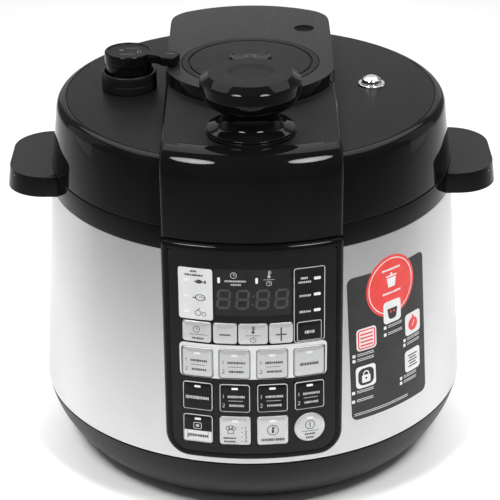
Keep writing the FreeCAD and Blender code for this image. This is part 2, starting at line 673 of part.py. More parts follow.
power_inlet = new_body("power_inlet")
inlet_face = shell_bottom_radius
inlet_plan = new_sketch(power_inlet, "XZ_Plane", -inlet_face)
half_w = D.inlet_width / 2
half_h = D.inlet_height / 2
box_outline(inlet_plan, -half_w, half_w, D.inlet_level - half_h, D.inlet_level + half_h, Size(2.0))
pad(power_inlet, inlet_plan, D.inlet_depth)
mouth = new_sketch(power_inlet, "XZ_Plane", -inlet_face)
box_outline(mouth, D.inlet_wall - half_w, half_w - D.inlet_wall,
            D.inlet_level - half_h + D.inlet_wall, D.inlet_level + half_h - D.inlet_wall, Size(1.5))
pocket(power_inlet, mouth, D.inlet_mouth_depth, backwards=True)
blades = new_sketch(power_inlet, "XZ_Plane", D.inlet_mouth_depth - inlet_face)
for offset_x, offset_z in ((-1, -0.35), (0, 0.35), (1, -0.35)):
    blade_x = offset_x * D.blade_pitch
    blade_z = D.inlet_level + offset_z * D.blade_pitch
    box_outline(blades, blade_x - D.blade_width / 2, blade_x + D.blade_width / 2,
                blade_z - D.blade_height / 2, blade_z + D.blade_height / 2)
pad(power_inlet, blades, D.blade_length, backwards=True)

# ---------------------------------------------------------------- control panel


def curved_slab(label, half_width, low, high, corners, outer, inner):
    """Plate curved about the Z axis, facing -Y, between two cones given as functions of level."""
    body = new_body(label)
    plan = new_sketch(body, "XZ_Plane", 100)
    round_low, round_high = corners
    outline(plan, [(-half_width, low, round_low), (half_width, low, round_low),
                   (half_width, high, round_high), (-half_width, high, round_high)])
    pad(body, plan, 80)
    bottom, top = low - 5, high + 5
    turned_cut(body, [(outer(bottom), bottom), (300, bottom), (300, top), (outer(top), top)])
    turned_cut(body, [(0, bottom), (inner(bottom), bottom), (inner(top), top), (0, top)])
    return body


def helper(body):
    """Takes a construction body off the list of pieces."""
    nodes.remove(body)
    return body


def boolean(kind, label, base, tool):
    feature = doc.addObject(f"Part::{kind}", label)
    feature.Label = label
    feature.Base = base
    feature.Tool = tool
    nodes.append(feature)
    return feature


fascia_half = panel_half - D.panel_margin
fascia_low = panel_low + D.panel_margin
fascia_high = panel_high - D.panel_margin
fascia_round = D.panel_corner - D.panel_margin


def fascia_front(level):
    return panel_radius(level) - D.panel_recess


def fascia_back(level):
    return fascia_front(level) - D.fascia_thickness


housing_slab = helper(curved_slab("housing_slab", panel_half, panel_low, panel_high,
                                  (D.panel_corner, Size(3.0)), panel_radius,
                                  lambda level: shell_radius(level) + D.shell_clearance))
window = new_sketch(housing_slab, "XZ_Plane", 100)
box_outline(window, -D.shell_window_half, D.shell_window_half,
            panel_low + D.shell_window_margin, panel_high - D.shell_window_margin)
pocket(housing_slab, window, 80, backwards=True)
recess_slab = helper(curved_slab("recess_slab", fascia_half, fascia_low, fascia_high,
                                 (fascia_round, Size(2.0)), lambda level: panel_radius(level) + 10, fascia_back))
boolean("Cut", "panel_housing", housing_slab, recess_slab)

panel_tilt = Size(math.degrees(math.atan(panel_slope.number)), f"atan({panel_slope.text})")


def panel_placement(angle, level):
    """Frame on the panel's front: local -Y points straight out of the panel."""
    reach = panel_radius(level).number
    turn = math.radians(angle.number)
    place = Vector(reach * math.sin(turn), -reach * math.cos(turn), level.number)
    return Placement(place, Rotation(Vector(0, 0, 1), angle.number) * Rotation(Vector(1, 0, 0), -panel_tilt.number))


def board_distance(angle, level):
    """Way from the panel's front to the switches, along a key's own axis."""
    switch_front = board_level + D.board_thickness + D.switch_height + D.switch_gap
    return (panel_radius(level) - switch_front / cosine(angle)) / cosine(panel_tilt)


KEYS = {}
for name, factor in (("left", -1), ("right", 1)):
    KEYS[f"key_{name}_step"] = (factor * D.small_step_angle, small_row, D.small_step_width, D.small_height)
KEYS["key_clock"] = (-D.small_side_angle, small_row, D.small_side_width, D.small_height)
KEYS["key_timer"] = (Size(0.0), small_row, D.small_side_width, D.small_height)
KEYS["key_mode"] = (D.small_side_angle, small_row, D.mode_width, D.small_height)
for row_name, row_level in (("upper", key_row_2), ("middle", key_row_3), ("lower", key_row_4)):
    for column in range(4):
        column_angle = (column - 1.5) * D.key_pitch
        KEYS[f"key_{row_name}_{column + 1}"] = (column_angle, row_level, D.key_width, D.key_height)

key_cutters = []
for name, (angle, level, width, height) in KEYS.items():
    key = new_body(name)
    key.Placement = panel_placement(angle, level)
    key.setExpression("Placement.Base.x", None)
    key.setExpression("Placement.Base.y", None)
    key.setExpression("Placement.Base.z", None)
    face = new_sketch(key, "XZ_Plane", D.key_proud)
    box_outline(face, -(width / 2), width / 2, -(height / 2), height / 2, D.key_round)
    pad(key, face, D.key_depth, backwards=True)
    stem = new_sketch(key, "XZ_Plane", D.key_proud - D.key_depth)
    circle(stem, 0, 0, D.key_stem_radius)
    pad(key, stem, board_distance(angle, level) + D.key_proud - D.key_depth, backwards=True)
    cutter = doc.addObject("Part::Box", f"{name}_opening")
    for prop, value in (("Length", width + 2 * D.key_gap), ("Width", Size(20.0)),
                        ("Height", height + 2 * D.key_gap)):
        cutter.setExpression(prop, value.text)
    shift = Vector(-(width / 2 + D.key_gap).number, -10, -(height / 2 + D.key_gap).number)
    cutter.Placement = panel_placement(angle, level) * Placement(shift, Rotation())
    key_cutters.append(cutter)

display_cutter = doc.addObject("Part::Box", "display_opening")
display_cutter.setExpression("Length", D.window_width.text)
cutter_depth = 40.0
cutter_front = panel_low_radius + 9
display_cutter.setExpression("Width", str(cutter_depth))
display_cutter.setExpression("Height", D.window_height.text)
display_cutter.Placement = Placement(
    Vector(-(D.window_width / 2).number, -cutter_front.number, (window_level - D.window_height / 2).number),
    Rotation())
openings = doc.addObject("Part::MultiFuse", "fascia_openings")
openings.Shapes = key_cutters + [display_cutter]
plate_gap = 0.1
fascia_plate = helper(curved_slab(
    "fascia_plate", fascia_half - plate_gap, fascia_low + plate_gap, fascia_high - plate_gap,
    (fascia_round, Size(2.0)), fascia_front, lambda level: fascia_back(level) + plate_gap))
boolean("Cut", "panel_fascia", fascia_plate, openings)

curved_slab("display_window", D.window_width / 2 - plate_gap, window_level - D.window_height / 2 + plate_gap,
            window_level + D.window_height / 2 - plate_gap, (Size(0.5), Size(0.5)),
            lambda level: fascia_front(level) - 0.2, lambda level: fascia_front(level) - 0.2 - D.window_thickness)

display_module = new_body("display_module")
board_front = board_level + D.board_thickness
module_plan = new_sketch(display_module, "XZ_Plane", board_front)
box_outline(module_plan, D.module_margin - D.window_width / 2, D.window_width / 2 - D.module_margin,
            window_level - D.window_height / 2 + D.module_margin,
            window_level + D.window_height / 2 - D.module_margin)
window_edge = root(panel_radius(window_level) * panel_radius(window_level) - D.window_width * D.window_width / 4)
pad(display_module, module_plan, window_edge - board_front - 6)

control_board = new_body("control_board")
board_plan = new_sketch(control_board, "XZ_Plane", board_level)
box_outline(board_plan, -D.board_half, D.board_half, panel_low + D.board_margin, panel_high - D.board_top_margin)
pad(control_board, board_plan, D.board_thickness)
switch_size = 6.0
switches = new_sketch(control_board, "XZ_Plane", board_front)
for angle, level, width, height in KEYS.values():
    way = board_distance(angle, level) + D.switch_gap
    switch_x = (panel_radius(level) - way) * sine(angle)
    switch_z = level - way * sine(panel_tilt)
    box_outline(switches, switch_x - switch_size / 2, switch_x + switch_size / 2,
                switch_z - switch_size / 2, switch_z + switch_size / 2)
pad(control_board, switches, D.switch_height)

# ---------------------------------------------------------------- label on the shell

label_middle = (D.label_from + D.label_to) / 2
label_half = shell_radius((label_low + label_high) / 2) * sine((D.label_to - D.label_from) / 2)
info_label = curved_slab("info_label", label_half, label_low, label_high, (Size(4.0), Size(4.0)),
                         lambda level: shell_radius(level) + D.label_thickness, shell_radius)
turn_body(info_label, (0, 0, 1), label_middle)

# ---------------------------------------------------------------- lid


def cap_level(radius):
    """Height of the lid cap's shallow cone at a radius."""
    return cap_edge + D.cap_dome * (cap_radius - radius) / cap_radius


cap_top = cap_level(Size(0.0))
seat_radius = cap_radius + D.cap_gap
lid_shell = new_body("lid_shell")
lathe(lid_shell, [
    (lid_low_radius, lid_low), (lid_high_radius, lid_high, D.shoulder_round), (seat_radius, cap_edge),
    (seat_radius, cap_under), (seat_radius - D.cap_ledge, cap_under),
    (seat_radius - D.cap_ledge, cap_under - D.lid_wall),
    (lid_high_radius - D.lid_wall, cap_under - D.lid_wall, D.shoulder_round - D.lid_wall),
    (lid_low_radius - D.lid_wall, lid_low),
])

lid_cap = new_body("lid_cap")
lathe(lid_cap, [(0, cap_under), (cap_radius, cap_under), (cap_radius, cap_edge), (0, cap_top)])
cap_holes = new_sketch(lid_cap, "XY_Plane", cap_under)
bezel_inner = D.dome_radius + 0.35
sleeve_outer = bezel_inner + 1.2
circle(cap_holes, 0, -knob_offset, D.shaft_radius + 2)
circle(cap_holes, D.valve_x, D.valve_y, D.pipe_radius + 2)
circle(cap_holes, D.float_x, D.float_y, sleeve_outer + 0.1)
pocket(lid_cap, cap_holes, 10, backwards=True)

frame_low = gear_high + 3.0
frame_high = frame_low + D.lid_wall
post_radius = 5.0
lid_frame = new_body("lid_frame")
lathe(lid_frame, [(0, frame_low), (lid_radius(frame_low) - D.lid_wall - 0.3, frame_low),
                  (lid_radius(frame_high) - D.lid_wall - 0.3, frame_high), (0, frame_high)])
frame_post = new_sketch(lid_frame, "XY_Plane", dome_high)
circle(frame_post, 45, 45, post_radius)
around(lid_frame, pad(lid_frame, frame_post, frame_low - dome_high), 4)
frame_holes = new_sketch(lid_frame, "XY_Plane", frame_low - 1)
circle(frame_holes, 0, -knob_offset, D.shaft_radius + D.fit)
circle(frame_holes, D.valve_x, D.valve_y, D.pipe_radius + 1)
circle(frame_holes, D.float_x, D.float_y, D.float_stem + 1)
pocket(lid_frame, frame_holes, 8, backwards=True)

inner_lid = new_body("inner_lid")
inner_lid_radius = rim_outer
step_radius = inner_lid_radius - D.inner_lid_step
lathe(inner_lid, [
    (0, dome_high - D.inner_lid_thickness), (step_radius - D.inner_lid_rise, dome_high - D.inner_lid_thickness),
    (step_radius, gasket_high), (inner_lid_radius, gasket_high), (inner_lid_radius, inner_lid_high),
    (step_radius, inner_lid_high), (step_radius - D.inner_lid_rise, dome_high), (0, dome_high),
])
inner_holes = new_sketch(inner_lid, "XY_Plane", gasket_high - 1)
circle(inner_holes, D.valve_x, D.valve_y, D.pipe_radius)
circle(inner_holes, D.float_x, D.float_y, D.float_stem + D.fit)
pocket(inner_lid, inner_holes, 12, backwards=True)

gasket_outer = pot_rim_outer - 0.5
lid_gasket = new_body("lid_gasket")
lathe(lid_gasket, [(gasket_outer - D.gasket_width, gasket_low), (gasket_outer, gasket_low),
                   (gasket_outer, gasket_high), (gasket_outer - D.gasket_width, gasket_high)])

# ---------------------------------------------------------------- bridge across the lid


def deck_level(forward):
    """Height of the sloping front deck, forward millimetres in front of the lid's axis."""
    return deck_front + D.deck_rise * (front_radius - forward) / front_radius


front_low = collar_top - D.front_drop
front_inner = lid_low_radius + D.front_gap + 0.5
bridge_rear = D.plateau_rear_centre + root(D.plateau_rear_radius * D.plateau_rear_radius
                                           - bridge_half * bridge_half)
lid_bridge = new_body("lid_bridge")
side_view = new_sketch(lid_bridge, "YZ_Plane")
front_edge = front_radius + 4
outline(side_view, [(-front_edge, front_low), (20, front_low), (20, deck_level(Size(-20.0))),
                    (-front_edge, deck_level(front_edge))])
pad(lid_bridge, side_view, 2 * bridge_half, both_ways=True)
turned_cut(lid_bridge, [(front_radius, front_low - 5), (250, front_low - 5),
                        (250, plateau_top), (front_radius, plateau_top)])


def plateau_outline(sketch, half, front, rear, rear_centre):
    """Plateau plan: straight sides, a front arc about the lid's axis and a flatter rear arc."""
    front_y = -math.sqrt(front.number ** 2 - half.number ** 2)
    rear_y = rear_centre.number + math.sqrt(rear.number ** 2 - half.number ** 2)
    corners = [Vector(-half.number, front_y, 0), Vector(half.number, front_y, 0),
               Vector(half.number, rear_y, 0), Vector(-half.number, rear_y, 0)]
    front_arc, right, rear_arc, left = sketch.addGeometry([
        Part.Arc(corners[0], Vector(0, -front.number, 0), corners[1]),
        Part.LineSegment(corners[1], corners[2]),
        Part.Arc(corners[2], Vector(0, rear_centre.number + rear.number, 0), corners[3]),
        Part.LineSegment(corners[3], corners[0]),
    ], False)
    sketch.addConstraint(Sketcher.Constraint("Coincident", front_arc, 3, -1, 1))
    pin_point(sketch, rear_arc, 3, Size(0.0), rear_centre)
    bind(sketch, Sketcher.Constraint("Radius", front_arc, front.number), front)
    bind(sketch, Sketcher.Constraint("Radius", rear_arc, rear.number), rear)
    sketch.addConstraint(Sketcher.Constraint("Coincident", front_arc, 2, right, 1))
    sketch.addConstraint(Sketcher.Constraint("Coincident", right, 2, rear_arc, 1))
    sketch.addConstraint(Sketcher.Constraint("Coincident", rear_arc, 2, left, 1))
    sketch.addConstraint(Sketcher.Constraint("Coincident", left, 2, front_arc, 1))
    for line, place in ((right, half), (left, -half)):
        sketch.addConstraint(Sketcher.Constraint("Vertical", line))
        bind(sketch, Sketcher.Constraint("DistanceX", -1, 1, line, 1, place.number), place)


plateau = new_sketch(lid_bridge, "XY_Plane", cap_edge - 2)
plateau_outline(plateau, bridge_half, D.plateau_front_radius, D.plateau_rear_radius, D.plateau_rear_centre)
pad(lid_bridge, plateau, plateau_top - cap_edge + 2)
knob_seat = new_sketch(lid_bridge, "XY_Plane", cap_top)
circle(knob_seat, 0, -knob_offset, D.seat_radius)
pad(lid_bridge, knob_seat, seat_top - cap_top)
clear = 0.05
turned_cut(lid_bridge, [
    (0, front_low - 5), (front_inner, front_low - 5), (front_inner, lid_low + 4),
    (lid_high_radius + 0.8, lid_high), (seat_radius, cap_edge + clear), (0, cap_top + clear),
])
deck_hollow = new_sketch(lid_bridge, "YZ_Plane")
hollow_front = cap_radius - 1
outline(deck_hollow, [(-hollow_front, cap_edge - 5), (-20, cap_edge - 5),
                      (-20, deck_level(Size(20.0)) - D.bridge_wall),
                      (-hollow_front, deck_level(hollow_front) - D.bridge_wall)])
pocket(lid_bridge, deck_hollow, 2 * (bridge_half - D.bridge_wall), both_ways=True)
plateau_hollow = new_sketch(lid_bridge, "XY_Plane", plateau_top - D.bridge_wall)
plateau_outline(plateau_hollow, bridge_half - D.bridge_wall, D.plateau_front_radius - D.bridge_wall,
                D.plateau_rear_radius - D.bridge_wall, D.plateau_rear_centre)
pocket(lid_bridge, plateau_hollow, D.plateau_height)
shaft_bearing = new_sketch(lid_bridge, "XY_Plane", cap_top - 5)
circle(shaft_bearing, 0, -knob_offset, D.shaft_radius + D.fit)
pocket(lid_bridge, shaft_bearing, 40, backwards=True)
disc_recess = new_sketch(lid_bridge, "XY_Plane", plateau_top)
circle(disc_recess, 0, 0, D.disc_radius + D.disc_gap)
pocket(lid_bridge, disc_recess, D.disc_thickness)
eye_recess = new_sketch(lid_bridge, "XY_Plane", plateau_top)
circle(eye_recess, D.eye_x, D.eye_y, D.eye_radius)
pocket(lid_bridge, eye_recess, D.bridge_wall - 1)


def round_edges(body, radius, chosen):
    """Rounds the edges of the body's tip that the test picks."""
    doc.recompute()
    base = body.Tip
    names = [f"Edge{number}" for number, edge in enumerate(base.Shape.Edges, start=1) if chosen(edge)]
    feature = body.newObject("PartDesign::Fillet", f"{body.Name}_rounding")
    feature.Base = (base, names)
    feature.Radius = radius.number
    feature.setExpression("Radius", radius.text)
    return feature


def on_plateau_rim(edge):
    centre = edge.CenterOfMass
    at_top = abs(centre.z - plateau_top.number) < 0.01 and edge.BoundBox.ZLength < 0.01
    if not at_top:
        return False
    on_side = abs(abs(centre.x) - bridge_half.number) < 0.01
    at_rear = centre.y > bridge_rear.number
    return on_side or at_rear


round_edges(lid_bridge, D.plateau_round, on_plateau_rim)

bridge_disc = new_body("bridge_disc")
disc_top = plateau_top + 0.2
groove = 0.6
lathe(bridge_disc, [
    (0, plateau_top - D.disc_thickness), (D.disc_radius, plateau_top - D.disc_thickness), (D.disc_radius, disc_top),
    (D.disc_groove + groove, disc_top), (D.disc_groove, disc_top - groove), (D.disc_groove - groove, disc_top),
    (0, disc_top),
])
lock_boss = new_body("lock_boss")
lathe(lock_boss, [(0, disc_top), (D.boss_radius, disc_top), (D.boss_radius, disc_top + D.boss_height - 1),
                  (D.boss_radius - 1, disc_top + D.boss_height), (0, disc_top + D.boss_height)])

# ---------------------------------------------------------------- knob, shaft and lock gear

knob_low = seat_top + D.knob_gap
shaft_low = dome_high + 1.0
shaft_high = knob_low + D.knob_under - 4
knob = new_body("lid_knob", (0, -knob_offset, 0))
lathe(knob, [
    (D.shaft_radius, knob_low), (D.knob_foot_radius, knob_low), (D.knob_foot_radius, knob_low + 2),
    (D.knob_neck_radius, knob_low + D.knob_flare, Size(8.0)),
    (D.knob_neck_radius, knob_low + D.knob_under, Size(3.0)),
    (D.knob_rim_radius, knob_low + D.knob_rim_low), (D.knob_rim_radius, knob_low + D.knob_rim_high),
    (D.knob_face_radius, knob_low + D.knob_height), (D.knob_dish_radius, knob_low + D.knob_height),
    (D.knob_dish_radius - 3, knob_low + D.knob_height - D.knob_dish_depth),
    (0, knob_low + D.knob_height - D.knob_dish_depth), (0, shaft_high), (D.shaft_radius, shaft_high),
])
knob_shaft = new_body("knob_shaft", (0, -knob_offset, 0))
lathe(knob_shaft, [(0, shaft_low), (D.shaft_radius, shaft_low), (D.shaft_radius, shaft_high), (0, shaft_high)])


def involute(base, radius):
    """Point on the involute of a base circle at a radius: its own polar angle, in radians."""
    pressure = math.acos(min(1.0, base / radius))
    return math.tan(pressure) - pressure


PRESSURE_ANGLE = math.radians(20.0)
FLANK_STEPS = 6


def tooth_face(teeth, low, high, half_width):
    """One involute tooth standing on +Y between two radii; half_width is its half angle at the pitch circle."""
    pitch = D.gear_module.number * teeth / 2
    base = pitch * math.cos(PRESSURE_ANGLE)
    flank = []
    for step in range(FLANK_STEPS + 1):
        radius = low + (high - low) * step / FLANK_STEPS
        angle = half_width + involute(base, pitch) - involute(base, max(radius, base))
        flank.append((radius, angle))
    left = [Vector(-r * math.sin(a), r * math.cos(a), 0) for r, a in flank]
    right = [Vector(r * math.sin(a), r * math.cos(a), 0) for r, a in reversed(flank)]
    return Part.Face(Part.makePolygon(left + right + left[:1]))


def gear_solid(core, teeth, tooth, turns, low, height, keep_tooth):
    """Adds (or cuts) the same tooth at each turn about the Z axis."""
    solid = core
    tool = tooth.extrude(Vector(0, 0, height))
    tool.translate(Vector(0, 0, low))
    copies = []
    for turn in turns:
        copy = tool.copy()
        copy.rotate(Vector(0, 0, 0), Vector(0, 0, 1), turn)
        copies.append(copy)
    return solid.fuse(copies).removeSplitter() if keep_tooth else solid.cut(copies).removeSplitter()


module = D.gear_module.number
pinion_pitch = pinion_radius.number
pinion_step = 360.0 / D.pinion_teeth.number
backlash_angle = D.gear_backlash.number / pinion_pitch / 2
pinion_core = Part.makeCylinder(pinion_pitch - tooth_depth.number, D.gear_thickness.number,
                                Vector(0, 0, gear_low.number))
pinion_tooth = tooth_face(int(D.pinion_teeth.number), pinion_pitch - tooth_depth.number - 0.5,
                          pinion_pitch + 0.9 * module,
                          math.radians(pinion_step) / 4 - backlash_angle)
pinion = gear_solid(pinion_core, D.pinion_teeth.number, pinion_tooth,
                    [180 + index * pinion_step for index in range(int(D.pinion_teeth.number))],
                    gear_low.number, D.gear_thickness.number, True)
pinion = pinion.cut(Part.makeCylinder(D.shaft_radius.number, 50, Vector(0, 0, gear_low.number - 10)))
lock_pinion = doc.addObject("Part::Feature", "lock_pinion")
lock_pinion.Label = "lock_pinion"
lock_pinion.Shape = pinion
lock_pinion.Placement = Placement(Vector(0, -knob_offset.number, 0), Rotation())
nodes.append(lock_pinion)

# lock ring: wall, lugs below the well's rim and an internally toothed sector in front
wall_ring = Part.makeCylinder(ring_outer.number, (gear_high - lug_low).number, Vector(0, 0, lug_low.number))
wall_ring = wall_ring.cut(Part.makeCylinder(ring_inner.number, 60, Vector(0, 0, lug_low.number - 1)))


def sector(inner, outer, low, high, middle, half):
    """Solid ring sector; middle and half are degrees, counted from +X."""
    turned = Part.makeCylinder(outer, high - low, Vector(0, 0, low), Vector(0, 0, 1), 2 * half)
    turned = turned.cut(Part.makeCylinder(inner, high - low + 2, Vector(0, 0, low - 1)))
    turned.rotate(Vector(0, 0, 0), Vector(0, 0, 1), middle - half)
    return turned


ring_lug_inner = (ring_inner - D.ring_lug_reach).number
ring_lugs = [
    sector(ring_lug_inner, ring_inner.number + 1, lug_low.number, lug_high.number,
           90.0 + LUG_STEP / 2 + index * LUG_STEP, D.lug_angle.number / 2)
    for index in range(int(D.lug_count.number))
]
ring_pitch = ring_pitch_radius.number
ring_root = ring_pitch + tooth_depth.number
ring_tip = ring_pitch - 0.8 * module
ring_step = 360.0 / ring_teeth
toothed = sector(ring_tip, ring_inner.number + 1, gear_low.number, gear_high.number, -90.0, D.gear_sector.number)
gap_half = math.radians(ring_step) / 4 + D.gear_backlash.number / ring_pitch / 2
gap_face = tooth_face(ring_teeth, ring_tip - 0.6, ring_root, gap_half)
gap_count = int(D.gear_sector.number / ring_step) - 1
toothed = gear_solid(toothed, ring_teeth, gap_face,
                     [180 + index * ring_step for index in range(-gap_count, gap_count + 1)],
                     gear_low.number - 1, D.gear_thickness.number + 2, False)
lock_ring = doc.addObject("Part::Feature", "lock_ring")
lock_ring.Label = "lock_ring"
lock_ring.Shape = wall_ring.fuse(ring_lugs + [toothed]).removeSplitter()
lock_ring.Placement = Placement()
nodes.append(lock_ring)

# ---------------------------------------------------------------- steam valve

valve_pipe = new_body("valve_pipe", (D.valve_x, D.valve_y, 0))
socket_low = cap_level(Size(60.0)) + 0.05
socket_high = socket_low + D.socket_height
valve_low = socket_high + D.valve_gap
valve_high = valve_low + D.valve_height
pipe_top = valve_high - D.valve_wall - 1.5
lathe(valve_pipe, [(D.pipe_bore, dome_high - D.inner_lid_thickness), (D.pipe_radius, dome_high - D.inner_lid_thickness),
                   (D.pipe_radius, pipe_top), (D.pipe_bore, pipe_top)])

valve_socket = new_body("valve_socket", (D.valve_x, D.valve_y, 0))
lathe(valve_socket, [
    (D.pipe_radius + 1, socket_low), (D.socket_radius, socket_low), (D.socket_radius, socket_high),
    (D.socket_radius - D.socket_wall, socket_high), (D.socket_radius - D.socket_wall, socket_low + D.socket_wall),
    (D.pipe_radius + 1, socket_low + D.socket_wall),
])

steam_valve = new_body("steam_valve", (D.valve_x, D.valve_y, 0))
lever_low = plateau_top + 1.0
lever_plan = new_sketch(steam_valve, "XY_Plane", lever_low)
half_lever = D.lever_width / 2
half_block = D.lever_block_width / 2
block_from = D.lever_reach - D.lever_block
outline(lever_plan, [
    (D.valve_radius - 4, -half_lever), (block_from - 3, -half_lever), (block_from, -half_block),
    (D.lever_reach, -half_block, Size(2.0)), (D.lever_reach, half_block, Size(4.0)), (D.valve_radius - 4, half_block),
])
pad(steam_valve, lever_plan, D.lever_height)
turned_cut(steam_valve, [(0, lever_low - 5), (D.valve_radius - 1, lever_low - 5),
                         (D.valve_radius - 1, valve_high + 5), (0, valve_high + 5)])
lathe(steam_valve, [
    (D.pipe_radius + D.fit, valve_low), (D.valve_hub, valve_low), (D.valve_hub, valve_high - D.valve_wall),
    (D.valve_radius - D.valve_wall, valve_high - D.valve_wall), (D.valve_radius - D.valve_wall, valve_low),
    (D.valve_radius, valve_low), (D.valve_radius, valve_high - 0.8), (D.valve_radius - 0.8, valve_high),
    (0, valve_high), (0, pipe_top + 1), (D.pipe_radius + D.fit, pipe_top + 1),
])
turn_body(steam_valve, (0, 0, 1), D.lever_angle)

# ---------------------------------------------------------------- float valve

float_bezel = new_body("float_bezel", (D.float_x, D.float_y, 0))
bezel_low = cap_level(Size(72.0)) + 0.02
bezel_high = bezel_low + D.bezel_height
lathe(float_bezel, [
    (bezel_inner, cap_under), (sleeve_outer, cap_under), (sleeve_outer, bezel_low), (D.bezel_radius, bezel_low),
    (D.bezel_radius - 0.8, bezel_high), (bezel_inner, bezel_high),
])
float_pin = new_body("float_pin", (D.float_x, D.float_y, 0))
foot_high = dome_high - D.inner_lid_thickness - D.float_travel - 0.4
dome_top = bezel_low + D.dome_height
lathe(float_pin, [
    (0, foot_high - 2), (D.float_foot, foot_high - 2), (D.float_foot, foot_high), (D.float_stem, foot_high),
    (D.float_stem, bezel_low - 1), (D.dome_radius, bezel_low - 1), (D.dome_radius, dome_top, Size(3.0)),
    (0, dome_top),
])

# ---------------------------------------------------------------- hinge at the back

pin_reach = D.knuckle_half + D.ear_gap + D.ear_width
bracket_top = hinge_z - D.knuckle_radius - 0.4
hinge_bracket = new_body("hinge_bracket")
block = new_sketch(hinge_bracket, "YZ_Plane")
rear = hinge_y + D.knuckle_radius
box_outline(block, collar_inner, rear, bracket_top - D.bracket_height, bracket_top)
pad(hinge_bracket, block, 2 * pin_reach, both_ways=True)
for side in (-1, 1):
    middle = side * (D.knuckle_half + D.ear_gap + D.ear_width / 2)
    ear = new_sketch(hinge_bracket, "YZ_Plane", middle)
    box_outline(ear, hinge_y - D.knuckle_radius, rear, bracket_top - 2, hinge_z)
    pad(hinge_bracket, ear, D.ear_width, both_ways=True)
    ear_round = new_sketch(hinge_bracket, "YZ_Plane", middle)
    circle(ear_round, hinge_y, hinge_z, D.knuckle_radius)
    pad(hinge_bracket, ear_round, D.ear_width, both_ways=True)
pin_hole = new_sketch(hinge_bracket, "YZ_Plane")
circle(pin_hole, hinge_y, hinge_z, D.hinge_pin_radius)
pocket(hinge_bracket, pin_hole, 2 * pin_reach + 2, both_ways=True)
turned_cut(hinge_bracket, [(0, shell_high - 60), (shell_radius(shell_high - 60) + 0.1, shell_high - 60),
                           (D.shell_top_radius + 0.1, shell_high), (D.shell_top_radius + 0.1, collar_top + 10),
                           (0, collar_top + 10)])

hinge_pin = new_body("hinge_pin")
pin_plan = new_sketch(hinge_pin, "YZ_Plane")
circle(pin_plan, hinge_y, hinge_z, D.hinge_pin_radius)
pad(hinge_pin, pin_plan, 2 * pin_reach, both_ways=True)

hinge_arm = new_body("hinge_arm")
web = new_sketch(hinge_arm, "YZ_Plane")
box_outline(web, collar_inner - 4, hinge_y + D.knuckle_radius - 1, lid_low, lid_low + D.arm_height)
pad(hinge_arm, web, 2 * D.knuckle_half, both_ways=True)
link = new_sketch(hinge_arm, "YZ_Plane")
box_outline(link, hinge_y - 1, hinge_y + D.knuckle_radius - 1, hinge_z, lid_low + 2)
pad(hinge_arm, link, 2 * D.knuckle_half, both_ways=True)
barrel = new_sketch(hinge_arm, "YZ_Plane")
circle(barrel, hinge_y, hinge_z, D.knuckle_radius)
pad(hinge_arm, barrel, 2 * D.knuckle_half, both_ways=True)
arm_hole = new_sketch(hinge_arm, "YZ_Plane")
circle(arm_hole, hinge_y, hinge_z, D.hinge_pin_radius + D.fit)
pocket(hinge_arm, arm_hole, 2 * D.knuckle_half + 2, both_ways=True)
turned_cut(hinge_arm, [(0, hinge_z - 20), (D.shell_top_radius, hinge_z - 20), (lid_low_radius + 0.55, lid_low - 0.3),
                       (lid_low_radius + 0.05, lid_low), (lid_radius(lid_low + 40) + 0.05, lid_low + 40),
                       (0, lid_low + 40)])

# ---------------------------------------------------------------- check and write

doc.recompute()
faults = []
for item in doc.Objects:
    if "Invalid" in item.State or "Error" in item.State:
        faults.append(f"{item.Name}: {item.State}")
for node in nodes:
    shape = node.Shape
    if shape.isNull() or not shape.isValid() or not shape.Solids:
        faults.append(f"{node.Label}: bad shape")
if faults:
    raise RuntimeError("; ".join(faults))

os.makedirs("parts", exist_ok=True)
for node in nodes:
    node.Shape.exportStep(f"parts/{node.Label}.step")
print(f"{len(nodes)} nodes, knob offset {knob_offset.number:.2f}, ring teeth {ring_teeth}")
print(f"hinge axis y {hinge_y.number:.3f} z {hinge_z.number:.3f}, panel tilt {panel_tilt.number:.4f}")
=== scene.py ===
import json
import math
import random

import bmesh
import bpy
from mathutils import Matrix, Vector


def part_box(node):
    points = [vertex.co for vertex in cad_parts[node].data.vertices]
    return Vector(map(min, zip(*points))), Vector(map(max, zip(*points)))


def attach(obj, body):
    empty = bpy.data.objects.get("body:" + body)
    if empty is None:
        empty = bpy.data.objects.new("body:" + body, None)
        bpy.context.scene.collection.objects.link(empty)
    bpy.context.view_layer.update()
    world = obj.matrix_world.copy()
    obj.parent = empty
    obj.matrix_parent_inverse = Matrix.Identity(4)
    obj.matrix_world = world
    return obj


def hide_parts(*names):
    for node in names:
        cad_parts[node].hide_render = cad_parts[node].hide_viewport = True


# Electric pressure cooker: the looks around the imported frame.
# Lengths are millimetres in the row frame; every mesh is scaled to metres when it is made.

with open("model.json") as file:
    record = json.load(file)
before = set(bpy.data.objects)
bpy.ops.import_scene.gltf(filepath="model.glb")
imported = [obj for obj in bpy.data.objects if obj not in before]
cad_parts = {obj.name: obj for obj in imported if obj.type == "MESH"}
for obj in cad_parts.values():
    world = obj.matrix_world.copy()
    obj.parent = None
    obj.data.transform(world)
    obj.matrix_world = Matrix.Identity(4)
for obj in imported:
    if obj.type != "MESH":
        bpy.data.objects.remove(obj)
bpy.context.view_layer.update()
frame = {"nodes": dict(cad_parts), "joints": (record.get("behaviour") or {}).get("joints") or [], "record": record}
MM = 0.001
NODES = frame["nodes"]
SCENE = bpy.context.scene
random.seed(12)


def box_mm(node):
    """Lowest and highest corner of a CAD node, in millimetres."""
    low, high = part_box(node)
    return low / MM, high / MM


# ---------------------------------------------------------------- places and sizes from the frame

